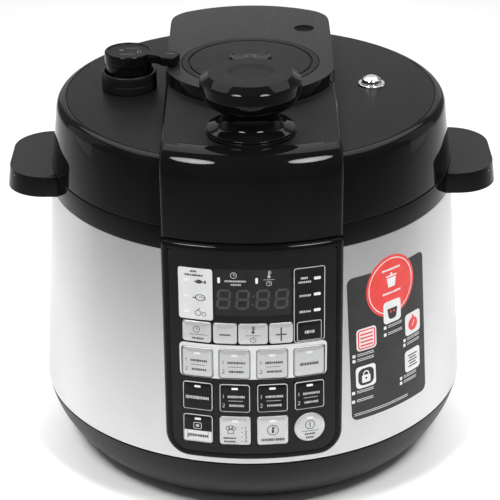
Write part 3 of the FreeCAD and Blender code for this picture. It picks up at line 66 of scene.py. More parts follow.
SHELL_LOW, SHELL_HIGH = box_mm("steel_shell")
COLLAR_LOW, COLLAR_HIGH = box_mm("body_collar")
LID_LOW, LID_HIGH = box_mm("lid_shell")
CAP_LOW, CAP_HIGH = box_mm("lid_cap")
BRIDGE_LOW, BRIDGE_HIGH = box_mm("lid_bridge")
PANEL_LOW, PANEL_HIGH = box_mm("panel_housing")
DISC_LOW, DISC_HIGH = box_mm("bridge_disc")
BOSS_LOW, BOSS_HIGH = box_mm("lock_boss")
KNOB_LOW, KNOB_HIGH = box_mm("lid_knob")
SOCKET_LOW, SOCKET_HIGH = box_mm("valve_socket")
BEZEL_LOW, BEZEL_HIGH = box_mm("float_bezel")
LABEL_LOW, LABEL_HIGH = box_mm("info_label")

shell_bottom_radius = SHELL_HIGH.x
shell_top_radius = COLLAR_HIGH.x
lid_low_radius = LID_HIGH.x
lid_taper = 5.2
cap_radius = CAP_HIGH.x
cap_edge = LID_HIGH.z
bridge_half = BRIDGE_HIGH.x
front_radius = -BRIDGE_LOW.y
plateau_top = BRIDGE_HIGH.z
knob_centre = ((KNOB_LOW.x + KNOB_HIGH.x) / 2, (KNOB_LOW.y + KNOB_HIGH.y) / 2)
valve_centre = ((SOCKET_LOW.x + SOCKET_HIGH.x) / 2, (SOCKET_LOW.y + SOCKET_HIGH.y) / 2)
float_centre = ((BEZEL_LOW.x + BEZEL_HIGH.x) / 2, (BEZEL_LOW.y + BEZEL_HIGH.y) / 2)
panel_low_radius, panel_high_radius = 151.0, 144.6
panel_half = PANEL_HIGH.x
deck_front = cap_edge + 8.2
deck_rise = 4.6


def shell_radius(level):
    share = (level - SHELL_LOW.z) / (SHELL_HIGH.z - SHELL_LOW.z)
    return shell_bottom_radius + (shell_top_radius - shell_bottom_radius) * share


def panel_radius(level):
    share = (level - PANEL_LOW.z) / (PANEL_HIGH.z - PANEL_LOW.z)
    return panel_low_radius + (panel_high_radius - panel_low_radius) * share


def deck_level(forward):
    """Height of the sloping deck, forward of the lid's axis."""
    return deck_front + deck_rise * (front_radius - forward) / front_radius


# ---------------------------------------------------------------- materials


class Finish:
    """One procedural material: a Principled shader with noise in its colour, roughness and bump."""

    def __init__(self, name, roughness, metallic=0.0, **settings):
        self.material = bpy.data.materials.new(name)
        self.material.use_nodes = True
        self.tree = self.material.node_tree
        self.shader = self.tree.nodes["Principled BSDF"]
        self.shader.inputs["Metallic"].default_value = metallic
        self.shader.inputs["Roughness"].default_value = roughness
        for socket, value in settings.items():
            self.shader.inputs[socket.replace("_", " ")].default_value = value
        self.coordinates = self.add("ShaderNodeTexCoord").outputs["Object"]

    def add(self, kind, **settings):
        node = self.tree.nodes.new(kind)
        for key, value in settings.items():
            setattr(node, key, value)
        return node

    def link(self, output, socket):
        self.tree.links.new(output, socket)

    def noise(self, scale, detail=2.0, stretch=None):
        """Noise at a scale in cells per metre; stretch scales the three axes."""
        node = self.add("ShaderNodeTexNoise")
        node.inputs["Scale"].default_value = scale
        node.inputs["Detail"].default_value = detail
        source = self.coordinates
        if stretch is not None:
            mapping = self.add("ShaderNodeMapping")
            mapping.inputs["Scale"].default_value = stretch
            self.link(source, mapping.inputs["Vector"])
            source = mapping.outputs["Vector"]
        self.link(source, node.inputs["Vector"])
        return node.outputs["Fac"]

    def span(self, source, low, high):
        """Maps noise of about 0.3 to 0.7 to a range."""
        node = self.add("ShaderNodeMapRange")
        node.inputs["From Min"].default_value = 0.3
        node.inputs["From Max"].default_value = 0.7
        node.inputs["To Min"].default_value = low
        node.inputs["To Max"].default_value = high
        self.link(source, node.inputs["Value"])
        return node.outputs["Result"]

    def colour(self, source, dark, light):
        """Base colour between two tones, chosen by noise."""
        node = self.add("ShaderNodeValToRGB")
        node.color_ramp.elements[0].position = 0.3
        node.color_ramp.elements[0].color = (*dark, 1)
        node.color_ramp.elements[1].position = 0.7
        node.color_ramp.elements[1].color = (*light, 1)
        self.link(source, node.inputs["Fac"])
        self.link(node.outputs["Color"], self.shader.inputs["Base Color"])

    def rough(self, source, low, high):
        self.link(self.span(source, low, high), self.shader.inputs["Roughness"])

    def bump(self, source, height, strength=1.0):
        """Relief of a height in metres."""
        node = self.add("ShaderNodeBump")
        node.inputs["Strength"].default_value = strength
        node.inputs["Distance"].default_value = height
        self.link(source, node.inputs["Height"])
        self.link(node.outputs["Normal"], self.shader.inputs["Normal"])


def grey(value, tint=0.0):
    """A neutral colour, a little bluer with a positive tint."""
    return (value, value, value * (1 + tint))


def gloss_plastic(name, tone, low=0.03, high=0.06, level=0.12):
    finish = Finish(name, low, Specular_IOR_Level=level)
    finish.colour(finish.noise(40.0), grey(tone * 0.8), grey(tone * 1.25, 0.04))
    finish.rough(finish.noise(90.0, 4.0), low, high)
    finish.bump(finish.noise(260.0, 1.0), 0.00002, 0.25)
    return finish.material


def satin_plastic(name, tone, low=0.34, high=0.44, grain=1900.0, level=0.16):
    """Moulded plastic with a fine spark-eroded grain."""
    finish = Finish(name, low, Specular_IOR_Level=level)
    finish.colour(finish.noise(60.0, 3.0), grey(tone * 0.88), grey(tone * 1.12))
    finish.rough(finish.noise(500.0, 3.0), low, high)
    finish.bump(finish.noise(grain, 2.0), 0.00006, 0.35)
    return finish.material


def brushed_steel(name):
    """Sheet brushed round the body, so reflections smear up and down."""
    finish = Finish(name, 0.3, 1.0, Anisotropic=0.75, Anisotropic_Rotation=0.25)
    lines = finish.noise(120.0, 3.0, (1.0, 1.0, 40.0))
    finish.colour(lines, (0.575, 0.575, 0.58), (0.61, 0.61, 0.61))
    finish.rough(finish.noise(60.0, 3.0, (1.0, 1.0, 60.0)), 0.29, 0.34)
    finish.bump(lines, 0.000002, 0.1)
    tangent = finish.add("ShaderNodeTangent", direction_type="RADIAL", axis="Z")
    finish.link(tangent.outputs["Tangent"], finish.shader.inputs["Tangent"])
    return finish.material


def metal(name, tone, low, high, scale=300.0, height=0.00001):
    finish = Finish(name, low, 1.0)
    finish.colour(finish.noise(80.0, 3.0), grey(tone * 0.92), grey(tone * 1.05))
    finish.rough(finish.noise(scale, 3.0), low, high)
    finish.bump(finish.noise(scale * 3, 2.0), height, 0.3)
    return finish.material


def painted(name, dark, light, low=0.3, high=0.4, level=0.5):
    """Paint or print: a colour with slight unevenness and a fine tooth."""
    finish = Finish(name, low, Specular_IOR_Level=level)
    finish.colour(finish.noise(120.0, 3.0), dark, light)
    finish.rough(finish.noise(700.0, 2.0), low, high)
    finish.bump(finish.noise(2500.0, 1.0), 0.00001, 0.3)
    return finish.material


def silver_paint(name):
    """Silver lacquer with a fine flake."""
    finish = Finish(name, 0.4, 0.55)
    finish.colour(finish.noise(1500.0, 2.0), (0.50, 0.505, 0.51), (0.60, 0.605, 0.61))
    finish.rough(finish.noise(600.0, 2.0), 0.34, 0.42)
    finish.bump(finish.noise(2400.0, 1.0), 0.00001, 0.25)
    return finish.material


def rubbery(name, tone, low=0.55, high=0.7):
    finish = Finish(name, low)
    finish.colour(finish.noise(150.0, 4.0), grey(tone * 0.85), grey(tone * 1.15))
    finish.rough(finish.noise(400.0, 3.0), low, high)
    finish.bump(finish.noise(900.0, 3.0), 0.00008, 0.4)
    return finish.material


def circuit(name):
    finish = Finish(name, 0.35)
    finish.colour(finish.noise(260.0, 4.0), (0.01, 0.07, 0.03), (0.04, 0.2, 0.08))
    finish.rough(finish.noise(500.0), 0.3, 0.5)
    finish.bump(finish.noise(600.0, 3.0), 0.0001, 0.4)
    return finish.material


def coated_pot(name):
    """Dark non-stick coating with fine flecks."""
    finish = Finish(name, 0.4)
    finish.colour(finish.noise(2200.0, 1.0), grey(0.035), grey(0.11))
    finish.rough(finish.noise(300.0, 3.0), 0.3, 0.45)
    finish.bump(finish.noise(1500.0, 2.0), 0.00004, 0.3)
    return finish.material


def smoked(name):
    finish = Finish(name, 0.06, Specular_IOR_Level=0.2)
    finish.colour(finish.noise(70.0), grey(0.012, 0.1), grey(0.02, 0.1))
    finish.rough(finish.noise(200.0), 0.05, 0.1)
    return finish.material


RECIPES = {
    "gloss_black": (gloss_plastic, 0.0035),
    "satin_black": (satin_plastic, 0.007, 0.32, 0.42, 1900.0, 0.13),
    "lid_top_grey": (satin_plastic, 0.005, 0.36, 0.46, 1900.0, 0.08),
    "plateau_grey": (satin_plastic, 0.008, 0.32, 0.42, 1900.0, 0.14),
    "brushed_steel": (brushed_steel,),
    "polished_steel": (metal, 0.78, 0.08, 0.16),
    "aluminium": (metal, 0.66, 0.26, 0.4),
    "pot_coating": (coated_pot,),
    "rubber": (rubbery, 0.03),
    "silicone": (rubbery, 0.45, 0.35, 0.5),
    "panel_black": (gloss_plastic, 0.005, 0.12, 0.2, 0.2),
    "key_silver": (silver_paint,),
    "key_black": (gloss_plastic, 0.010, 0.12, 0.18),
    "smoked_window": (smoked,),
    "circuit_green": (circuit,),
    "label_grey": (satin_plastic, 0.04, 0.4, 0.5),
    "zinc_steel": (metal, 0.55, 0.25, 0.4),
    "print_white": (painted, grey(0.72), grey(0.8), 0.35, 0.45),
    "print_silver": (painted, grey(0.42), grey(0.5), 0.35, 0.45),
    "print_dark": (painted, grey(0.02), grey(0.035), 0.35, 0.45),
    "print_red": (painted, (0.72, 0.035, 0.03), (0.8, 0.06, 0.05), 0.35, 0.45),
    "print_grey": (painted, grey(0.13), grey(0.17), 0.35, 0.45),
    "segment_grey": (painted, grey(0.035), grey(0.045), 0.3, 0.4),
    "light_plate": (painted, (0.60, 0.605, 0.61), (0.66, 0.665, 0.67)),
    "pit_black": (satin_plastic, 0.003, 0.5, 0.6, 1900.0, 0.05),
}
MATERIALS = {name: make(name, *values) for name, (make, *values) in RECIPES.items()}

for part in frame["record"]["subparts"]:
    slots = NODES[part["node"]].data.materials
    slots.clear()
    slots.append(MATERIALS[part["material_slot"]])

# ---------------------------------------------------------------- mesh tools


def arc_points(centre, start, sweep, steps):
    """Points on an arc from the offset start, turned about centre by sweep radians."""
    radius, first = start.length, math.atan2(start.y, start.x)
    for step in range(steps + 1):
        angle = first + sweep * step / steps
        yield centre + Vector((math.cos(angle), math.sin(angle))) * radius


def rounded(corners, steps=6):
    """Polyline through closed corners (x, y) or (x, y, round), with an arc at each rounded one."""
    points = []
    for index, corner in enumerate(corners):
        here = Vector(corner[:2])
        if len(corner) < 3 or corner[2] <= 0:
            points.append(here)
            continue
        before = (Vector(corners[index - 1][:2]) - here).normalized()
        after = (Vector(corners[(index + 1) % len(corners)][:2]) - here).normalized()
        half = before.angle(after) / 2
        centre = here + (before + after).normalized() * (corner[2] / math.sin(half))
        start = here + before * (corner[2] / math.tan(half)) - centre
        side = 1 if before.x * after.y - before.y * after.x < 0 else -1
        points.extend(arc_points(centre, start, side * (math.pi - 2 * half), steps))
    return points


def finish_piece(name, mesh, body, slot, replaces=(), sharp=32.0, extra=()):
    """Turns a bmesh in millimetres into a piece that rides on a body."""
    bmesh.ops.remove_doubles(mesh, verts=mesh.verts, dist=1e-5)
    bmesh.ops.recalc_face_normals(mesh, faces=mesh.faces)
    for face in mesh.faces:
        face.smooth = True
    bmesh.ops.scale(mesh, vec=(MM, MM, MM), verts=mesh.verts)
    data = bpy.data.meshes.new(name)
    mesh.to_mesh(data)
    mesh.free()
    data.set_sharp_from_angle(angle=math.radians(sharp))
    piece = bpy.data.objects.new(name, data)
    SCENE.collection.objects.link(piece)
    for each in (slot, *extra):
        data.materials.append(MATERIALS[each])
    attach(piece, body)
    if replaces:
        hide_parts(*replaces)
    return piece


SEGMENTS = 180


def turned(mesh, profile, centre=(0.0, 0.0), segments=SEGMENTS):
    """Adds a closed outline (radius, level) swept round an upright axis."""
    rings = []
    for point in profile:
        if point.x < 1e-6:
            rings.append([mesh.verts.new((centre[0], centre[1], point.y))])
            continue
        ring = []
        for step in range(segments):
            angle = 2 * math.pi * step / segments
            x = centre[0] + point.x * math.cos(angle)
            y = centre[1] + point.x * math.sin(angle)
            ring.append(mesh.verts.new((x, y, point.y)))
        rings.append(ring)
    for index, ring in enumerate(rings):
        follow = rings[(index + 1) % len(rings)]
        if len(ring) == 1 and len(follow) == 1:
            continue
        for step in range(segments):
            after = (step + 1) % segments
            if len(ring) == 1:
                mesh.faces.new((ring[0], follow[step], follow[after]))
            elif len(follow) == 1:
                mesh.faces.new((ring[step], ring[after], follow[0]))
            else:
                mesh.faces.new((ring[step], ring[after], follow[after], follow[step]))


def lathe(name, corners, body, slot, replaces=(), centre=(0.0, 0.0), **options):
    mesh = bmesh.new()
    turned(mesh, rounded(corners), centre)
    return finish_piece(name, mesh, body, slot, replaces, **options)


def loops_to_faces(mesh, loops, closed=False, cap_first=False, cap_last=False):
    """Joins rings of equal length with quads; closed joins the last ring to the first."""
    rings = [[mesh.verts.new(point) for point in loop] for loop in loops]
    pairs = list(zip(rings, rings[1:]))
    if closed:
        pairs.append((rings[-1], rings[0]))
    for first, second in pairs:
        count = len(first)
        for index in range(count):
            after = (index + 1) % count
            mesh.faces.new((first[index], first[after], second[after], second[index]))
    if cap_first:
        mesh.faces.new(rings[0])
    if cap_last:
        mesh.faces.new(list(reversed(rings[-1])))
    return rings


def prism(mesh, outline, low, high, round_top=0.0, round_bottom=0.0, steps=4):
    """Upright solid on a plan outline (x, y) whose top and bottom edges are rounded."""
    bottom = [mesh.verts.new((point.x, point.y, low)) for point in outline]
    top = [mesh.verts.new((point.x, point.y, high)) for point in outline]
    count = len(outline)
    for index in range(count):
        after = (index + 1) % count
        mesh.faces.new((bottom[index], bottom[after], top[after], top[index]))
    mesh.faces.new(top)
    mesh.faces.new(list(reversed(bottom)))
    for ring, size in ((top, round_top), (bottom, round_bottom)):
        if size <= 0:
            continue
        chosen = set(ring)
        edges = [edge for edge in mesh.edges if edge.verts[0] in chosen and edge.verts[1] in chosen]
        bmesh.ops.bevel(mesh, geom=edges, offset=size, segments=steps, profile=0.5, affect="EDGES")


def cut(piece, *cutters):
    """Takes cutter objects out of a piece and removes them."""
    for cutter in cutters:
        modifier = piece.modifiers.new("cut", "BOOLEAN")
        modifier.operation = "DIFFERENCE"
        modifier.solver = "EXACT"
        modifier.object = cutter
    graph = bpy.context.evaluated_depsgraph_get()
    data = bpy.data.meshes.new_from_object(piece.evaluated_get(graph))
    piece.modifiers.clear()
    piece.data = data
    data.set_sharp_from_angle(angle=math.radians(32.0))
    for cutter in cutters:
        bpy.data.objects.remove(cutter)
    return piece


def cutter_from(mesh):
    bmesh.ops.recalc_face_normals(mesh, faces=mesh.faces)
    bmesh.ops.scale(mesh, vec=(MM, MM, MM), verts=mesh.verts)
    data = bpy.data.meshes.new("cutter")
    mesh.to_mesh(data)
    mesh.free()
    cutter = bpy.data.objects.new("cutter", data)
    SCENE.collection.objects.link(cutter)
    return cutter


def outline_cutter(outline, low, high):
    mesh = bmesh.new()
    prism(mesh, outline, low, high)
    return cutter_from(mesh)


def round_cutter(centre, radius, low, high, segments=96):
    return outline_cutter(disc_shape(*centre, radius, segments), low, high)


# ---------------------------------------------------------------- printed marks


def box_shape(x, z, width, height, corner=0.0):
    """Rounded rectangle round a middle point."""
    left, right, low, high = x - width / 2, x + width / 2, z - height / 2, z + height / 2
    corner = min(corner, width / 2 - 1e-3, height / 2 - 1e-3)
    corners = [(left, low, corner), (right, low, corner), (right, high, corner), (left, high, corner)]
    return rounded(corners, 5)


def disc_shape(x, z, radius, steps=32):
    return [Vector((x + radius * math.cos(2 * math.pi * step / steps),
                    z + radius * math.sin(2 * math.pi * step / steps))) for step in range(steps)]


def filled(outline, *holes):
    """A printed area: its outline and the holes left in it."""
    return (outline, holes)


def bar(x, z, width, height, corner=0.0):
    return filled(box_shape(x, z, width, height, corner))


def dot(x, z, radius, steps=32):
    return filled(disc_shape(x, z, radius, steps))


def frame_shape(x, z, width, height, corner, line):
    inner = box_shape(x, z, width - 2 * line, height - 2 * line, max(corner - line, 0.2))
    return filled(box_shape(x, z, width, height, corner), inner)


def ring_shape(x, z, radius, line):
    return filled(disc_shape(x, z, radius), disc_shape(x, z, radius - line))


def stroke(start, end, line):
    """Straight bar with square ends between two points."""
    a, b = Vector(start), Vector(end)
    side = (b - a).normalized().orthogonal() * (line / 2)
    return filled([a + side, b + side, b - side, a - side])


def strokes(points, line):
    """Chain of bars through points, joined by small discs."""
    bars = [stroke(a, b, line) for a, b in zip(points, points[1:])]
    return bars + [dot(x, z, line / 2, 10) for x, z in points]


def clock_icon(x, z, radius, line=0.35):
    hands = [stroke((x, z), (x, z + radius * 0.6), line), stroke((x, z), (x + radius * 0.45, z), line)]
    return [ring_shape(x, z, radius, line)] + hands


def thermometer_icon(x, z, height, line=0.45):
    bulb = height * 0.2
    ticks = [z + height * share for share in (0.12, 0.28, 0.44)]
    marks = [stroke((x + line, tick), (x + line + height * 0.22, tick), line * 0.7) for tick in ticks]
    tube = box_shape(x, z + height * 0.1, line * 2.2, height * 0.8, line)
    return [dot(x, z - height * 0.32, bulb), filled(tube)] + marks


def word_bars(x, z, width, height):
    """A row of small blocks that stands for a word."""
    shapes, left = [], x - width / 2
    while left < x + width / 2 - 0.3:
        size = min(random.uniform(0.5, 1.3), x + width / 2 - left)
        tall = height * random.choice((0.8, 1.0, 0.9))
        shapes.append(bar(left + size / 2, z, size, tall, 0.12))
        left += size + 0.28
    return shapes


def digit_strokes(number, x, z, height, line=0.35):
    """A plain numeral 1 to 4 built from straight bars."""
    w, h = height * 0.25, height / 2
    paths = {
        1: [[(x - w * 0.4, z + h * 0.6), (x + w * 0.2, z + h), (x + w * 0.2, z - h)]],
        2: [[(x - w, z + h), (x + w, z + h), (x + w, z), (x - w, z - h), (x + w, z - h)]],
        3: [[(x - w, z + h), (x + w, z + h), (x, z), (x + w, z), (x + w, z - h), (x - w, z - h)]],
        4: [[(x - w, z + h), (x - w, z), (x + w, z)], [(x + w, z + h), (x + w, z - h)]],
    }
    return [shape for path in paths[number] for shape in strokes(path, line)]


PRINT_LIFT = 0.04
PRINT_SINK = 0.06


def slice_patch(patch, axis, pitch):
    """Cuts a flat patch across at a regular pitch, so that it can follow a curve."""
    reach = [vert.co.dot(axis) for vert in patch.verts]
    line = math.ceil(min(reach) / pitch) * pitch
    while line < max(reach):
        everything = patch.verts[:] + patch.edges[:] + patch.faces[:]
        bmesh.ops.bisect_plane(patch, geom=everything, plane_co=axis * line, plane_no=axis, dist=1e-4)
        line += pitch


def add_print(mesh, shape, place, step):
    """One printed patch: a filled outline with holes, laid on a surface given by place(x, z, out)."""
    patch = bmesh.new()
    edges = []
    for outline in (shape[0], *shape[1]):
        verts = [patch.verts.new((point.x, 0.0, point.y)) for point in outline]
        edges.extend(patch.edges.new((verts[i - 1], verts[i])) for i in range(len(verts)))
    bmesh.ops.triangle_fill(patch, use_beauty=True, edges=edges)
    for axis, pitch in ((Vector((1, 0, 0)), step[0]), (Vector((0, 0, 1)), step[1])):
        if pitch:
            slice_patch(patch, axis, pitch)
    top = bmesh.ops.extrude_face_region(patch, geom=patch.faces[:])
    raised = {item for item in top["geom"] if isinstance(item, bmesh.types.BMVert)}
    vertex_map = {}
    for vert in patch.verts:
        out = PRINT_LIFT if vert in raised else -PRINT_SINK
        vertex_map[vert] = mesh.verts.new(place(vert.co.x, vert.co.z, out))
    for face in patch.faces:
        mesh.faces.new([vertex_map[vert] for vert in face.verts])
    patch.free()


def printed(name, shapes, place, body, slot, step=(0.0, 0.0), lift=0.0):
    """A thin printed layer of one colour."""
    mesh = bmesh.new()
    for shape in shapes:
        add_print(mesh, shape, lambda x, z, out: place(x, z, out + lift), step)
    return finish_piece(name, mesh, body, slot)


# ---------------------------------------------------------------- body shell and collar


def build_steel_shell():
    """Cone of thin sheet with a rolled lower lip and a window behind the panel."""
    wall, lip = 0.8, 0.6
    bottom, top = SHELL_LOW.z, SHELL_HIGH.z
    shell = lathe("steel_skin", [
        (shell_bottom_radius - wall, bottom, 0.15), (shell_bottom_radius - lip / 2, bottom, 0.25),
        (shell_bottom_radius - 0.05, bottom + lip, 0.4), (shell_radius(top), top - 0.1, 0.1),
        (shell_radius(top) - wall, top),
    ], "root", "brushed_steel", ["steel_shell"])
    half, margin = 49.0, 9.0
    window = [Vector((-half, -200)), Vector((half, -200)), Vector((half, -100)), Vector((-half, -100))]
    return cut(shell, outline_cutter(window, PANEL_LOW.z + margin, PANEL_HIGH.z - margin))


def build_collar():
    """Gloss ring that closes the body, with its flat deck inside."""
    low, high = SHELL_HIGH.z, COLLAR_HIGH.z
    top_radius = lid_low_radius + 0.2
    wall, deck_thickness, deck_drop = 2.8, 2.5, 13.1
    spigot = shell_top_radius - 0.95
    well_edge = box_mm("cooking_well")[1].x - 6.45
    deck = high - deck_drop
    return lathe("collar_ring", [
        (spigot, COLLAR_LOW.z), (spigot, low), (shell_top_radius, low, 0.4), (top_radius, high, 0.7),
        (top_radius - wall, high, 0.7), (top_radius - wall, deck, 1.0), (well_edge, deck),
        (well_edge, deck - deck_thickness), (spigot - wall, deck - deck_thickness),
        (spigot - wall, COLLAR_LOW.z),
    ], "root", "gloss_black", ["body_collar"])


def build_handle(side):
    """Grip plate beside the collar: satin top, gloss sides, hollow underneath."""
    node = "side_handle_left" if side < 0 else "side_handle_right"
    low, high = box_mm(node)
    half, tip = high.y, max(abs(low.x), abs(high.x))
    corner, wall = 27.0, 3.0
    root_radius = shell_top_radius - 0.2
    root_x = math.sqrt(root_radius ** 2 - half ** 2)
    grip = rounded([(100, -half), (tip, -half, corner), (tip, half, corner), (100, half)], 14)
    plan = [Vector((side * root_x, -half))]
    plan += [Vector((side * point.x, point.y)) for point in grip[1:-1]]
    plan.append(Vector((side * root_x, half)))
    lower, upper = math.atan2(-half, root_x), math.atan2(half, root_x)
    for step in range(23, 0, -1):
        angle = lower + (upper - lower) * step / 24
        plan.append(Vector((side * root_radius * math.cos(angle), root_radius * math.sin(angle))))
    mesh = bmesh.new()
    prism(mesh, plan, low.z, high.z, 1.4, 0.8)
    taper_start, draw_foot, draw_head, narrowing = 130.0, 0.5, 2.0, 0.03
    for vert in mesh.verts:
        rise = (vert.co.z - low.z) / (high.z - low.z)
        reach = max(abs(vert.co.x) - taper_start, 0.0) / (tip - taper_start)
        vert.co.x -= side * (draw_foot + draw_head * rise) * reach
        vert.co.y *= 1 - narrowing * rise * reach
    for face in mesh.faces:
        face.material_index = 0 if face.calc_center_median().z > high.z - 0.4 else 1
    handle = finish_piece(f"{node}_grip", mesh, "root", "satin_black", [node], 32.0, ("gloss_black",))
    inner_tip, inner_half = tip - wall, half - wall
    inner_root = shell_top_radius + wall
    under = [Vector((side * point.x, point.y)) for point in rounded([
        (inner_root, -inner_half, 2.0), (inner_tip, -inner_half, corner - 2 * wall),
        (inner_tip, inner_half, corner - 2 * wall), (inner_root, inner_half, 2.0)], 8)]
    return cut(handle, outline_cutter(under, low.z - 5, high.z - wall))


build_steel_shell()
build_collar()
build_handle(-1)
build_handle(1)

# ---------------------------------------------------------------- lid


def build_lid_shell():
    """Gloss ring of the lid, with a rounded shoulder and a ledge that the cap lies on."""
    seat, ledge, wall, shoulder = cap_radius + 0.25, 7.0, 3.0, 7.0
    top_radius = lid_low_radius - lid_taper
    under = CAP_LOW.z
    return lathe("lid_ring", [
        (lid_low_radius, LID_LOW.z, 0.6), (top_radius, cap_edge - 0.8, shoulder), (seat + 0.7, cap_edge, 0.5),
        (seat, cap_edge - 0.3, 0.2), (seat, under), (seat - ledge, under), (seat - ledge, under - wall),
        (top_radius - wall, under - wall, 3.0), (lid_low_radius - wall, LID_LOW.z, 0.6),
    ], "lid", "gloss_black", ["lid_shell"])


def build_cap():
    """Satin plate in the lid's ring, bored for the knob and both valves."""
    cap = lathe("cap_plate", [
        (0, CAP_LOW.z), (cap_radius, CAP_LOW.z), (cap_radius, cap_edge, 0.5), (0, CAP_HIGH.z),
    ], "lid", "lid_top_grey", ["lid_cap"])
    low, high = CAP_LOW.z - 5, CAP_HIGH.z + 5
    return cut(cap, round_cutter(knob_centre, 8.0, low, high), round_cutter(valve_centre, 6.0, low, high),
               round_cutter(float_centre, 8.25, low, high))


build_lid_shell()
build_cap()

# ---------------------------------------------------------------- bridge

plateau_front_radius = 59.5
rear_radius = 89.6
rear_centre = BRIDGE_HIGH.y - rear_radius
rear_corner = 12.0
bullnose = 19.0
edge_round = 2.4
eye_centre = (38.3, 67.0)


def rear_y(x):
    """Rear edge of the plateau, with its two corners rounded in plan."""
    edge = rear_centre + math.sqrt(rear_radius ** 2 - x ** 2)
    start = bridge_half - rear_corner
    if abs(x) <= start:
        return edge
    return edge - rear_corner + math.sqrt(max(rear_corner ** 2 - (abs(x) - start) ** 2, 0.0))


def bridge_profile(x, inset):
    """Closed side view (y, z) of the bridge at one x, its outer faces drawn in by inset."""
    wall_y = inset - math.sqrt(front_radius ** 2 - x ** 2)
    inner_y = -math.sqrt((lid_low_radius + 1.5) ** 2 - x ** 2)
    shoulder_y = -math.sqrt((lid_low_radius - lid_taper + 1.2) ** 2 - x ** 2)
    seat_y = -math.sqrt((cap_radius + 0.3) ** 2 - x ** 2)
    step_y = inset - math.sqrt(plateau_front_radius ** 2 - x ** 2)
    under, top, back = CAP_HIGH.z + 0.1, plateau_top - inset, rear_y(x) - inset
    corners = [
        (inner_y, BRIDGE_LOW.z, 0.4), (wall_y, BRIDGE_LOW.z, 0.4),
        (wall_y, deck_level(-wall_y) - inset, bullnose), (step_y - 1.2, deck_level(-step_y) - inset, 0.5),
        (step_y, top, 0.5), (back, top, edge_round),
        (back, under), (seat_y, under), (shoulder_y, cap_edge - 1.0), (inner_y, LID_LOW.z + 4.0),
    ]
    return rounded(corners, 8)


def bridge_share(forward):
    """The bridge is a little narrower behind its front wall."""
    narrow = 0.984
    reach = min(max((-forward - 108.0) / 16.0, 0.0), 1.0)
    return narrow + (1 - narrow) * reach


def bridge_columns():
    """Places across the bridge, each with how far its edge rounding draws the faces in."""
    start, flat, columns = bridge_half - rear_corner, bridge_half - edge_round, []
    columns += [(start * step / 20, 0.0) for step in range(20)]
    bend = math.asin((flat - start) / rear_corner)
    columns += [(start + rear_corner * math.sin(bend * step / 8), 0.0) for step in range(8)]
    for step in range(9):
        turn = math.pi / 2 * step / 8
        columns.append((flat + edge_round * math.sin(turn), edge_round * (1 - math.cos(turn))))
    return [(-x, inset) for x, inset in reversed(columns[1:])] + columns


def bridge_slot(face):
    """0 for the satin deck, 1 for gloss faces, 2 for the plateau."""
    middle, normal = face.calc_center_median(), face.normal
    on_deck = -front_radius + bullnose + 5 < middle.y < -20 and normal.z > 0.9
    on_plateau = middle.z > cap_edge + 11 and middle.y > -50
    step_face = middle.y < -15 and normal.z < 0.6 and normal.y < -0.4
    if step_face:
        return 1
    return 2 if on_plateau else 0 if on_deck else 1


def build_bridge():
    """Raised bridge across the lid: front wall, bullnose, sloping deck and flat plateau."""
    mesh = bmesh.new()
    loops = [[(x * bridge_share(point.x), point.x, point.y) for point in bridge_profile(x, inset)]
             for x, inset in bridge_columns()]
    loops_to_faces(mesh, loops, cap_first=True, cap_last=True)
    bmesh.ops.recalc_face_normals(mesh, faces=mesh.faces)
    for face in mesh.faces:
        face.material_index = bridge_slot(face)
    bridge = finish_piece("lid_bridge_cover", mesh, "lid", "lid_top_grey", ["lid_bridge"], 38.0,
                          ("gloss_black", "plateau_grey"))
    recess = round_cutter((0, 0), DISC_HIGH.x + 0.6, DISC_LOW.z, plateau_top + 5, 180)
    eye = round_cutter(eye_centre, 6.9, plateau_top - 2, plateau_top + 5)
    bearing = round_cutter(knob_centre, 6.3, CAP_LOW.z, plateau_top + 5)
    return cut(bridge, recess, eye, bearing)


def build_knob_seat():
    """Low collar on the deck round the knob's shaft."""
    bore, radius, low, high = 6.3, 29.0, deck_front - 3, KNOB_LOW.z - 0.4
    lathe("knob_seat", [(bore, low), (radius, low), (radius, high, 0.3), (bore, high)], "lid", "gloss_black",
          centre=knob_centre)


def build_plateau_eye():
    """Small dark pit near the back of the plateau."""
    top = plateau_top
    lathe("plateau_eye", [
        (0, top - 1.95), (6.7, top - 1.95), (6.7, top - 0.7, 0.3), (6.0, top - 0.9, 0.3),
        (4.6, top - 1.8, 0.3), (0, top - 1.8),
    ], "lid", "pit_black", centre=eye_centre)


def build_disc():
    """Round plate in the plateau with a ring groove near its edge."""
    radius, low, high = DISC_HIGH.x, DISC_LOW.z, DISC_HIGH.z
    groove, width = 41.6, 0.7
    lathe("plateau_disc", [
        (0, low), (radius, low), (radius, high, 0.3), (groove + width, high, 0.15),
        (groove + 0.3, high - 1.0), (groove - 0.3, high - 1.0), (groove - width, high, 0.15),
        (0, high - 0.25),
    ], "lid", "lid_top_grey", ["bridge_disc"])


def build_boss():
    """Dished lock mark in the middle of the disc with a dark rim."""
    radius, low, high = BOSS_HIGH.x, BOSS_LOW.z, BOSS_HIGH.z
    lathe("lock_mark", [
        (0, low), (radius, low, 0.5), (radius, high - 1.2, 1.0), (radius - 1.4, high, 0.7),
        (radius - 3.0, high - 0.9, 0.5), (0, high - 1.6),
    ], "lid", "gloss_black", ["lock_boss"])
    mark = strokes([(-5.2, 1.2), (0.0, 4.6), (5.2, 1.2)], 1.2)
    mark += strokes([(-5.2, -2.2), (0.0, 1.2), (5.2, -2.2)], 1.0)
    printed("lock_mark_arrow", mark, lambda x, z, out: (x, z, high - 1.35 + out), "lid", "print_dark")


build_bridge()
build_knob_seat()
build_plateau_eye()
build_disc()
build_boss()

# ---------------------------------------------------------------- knob


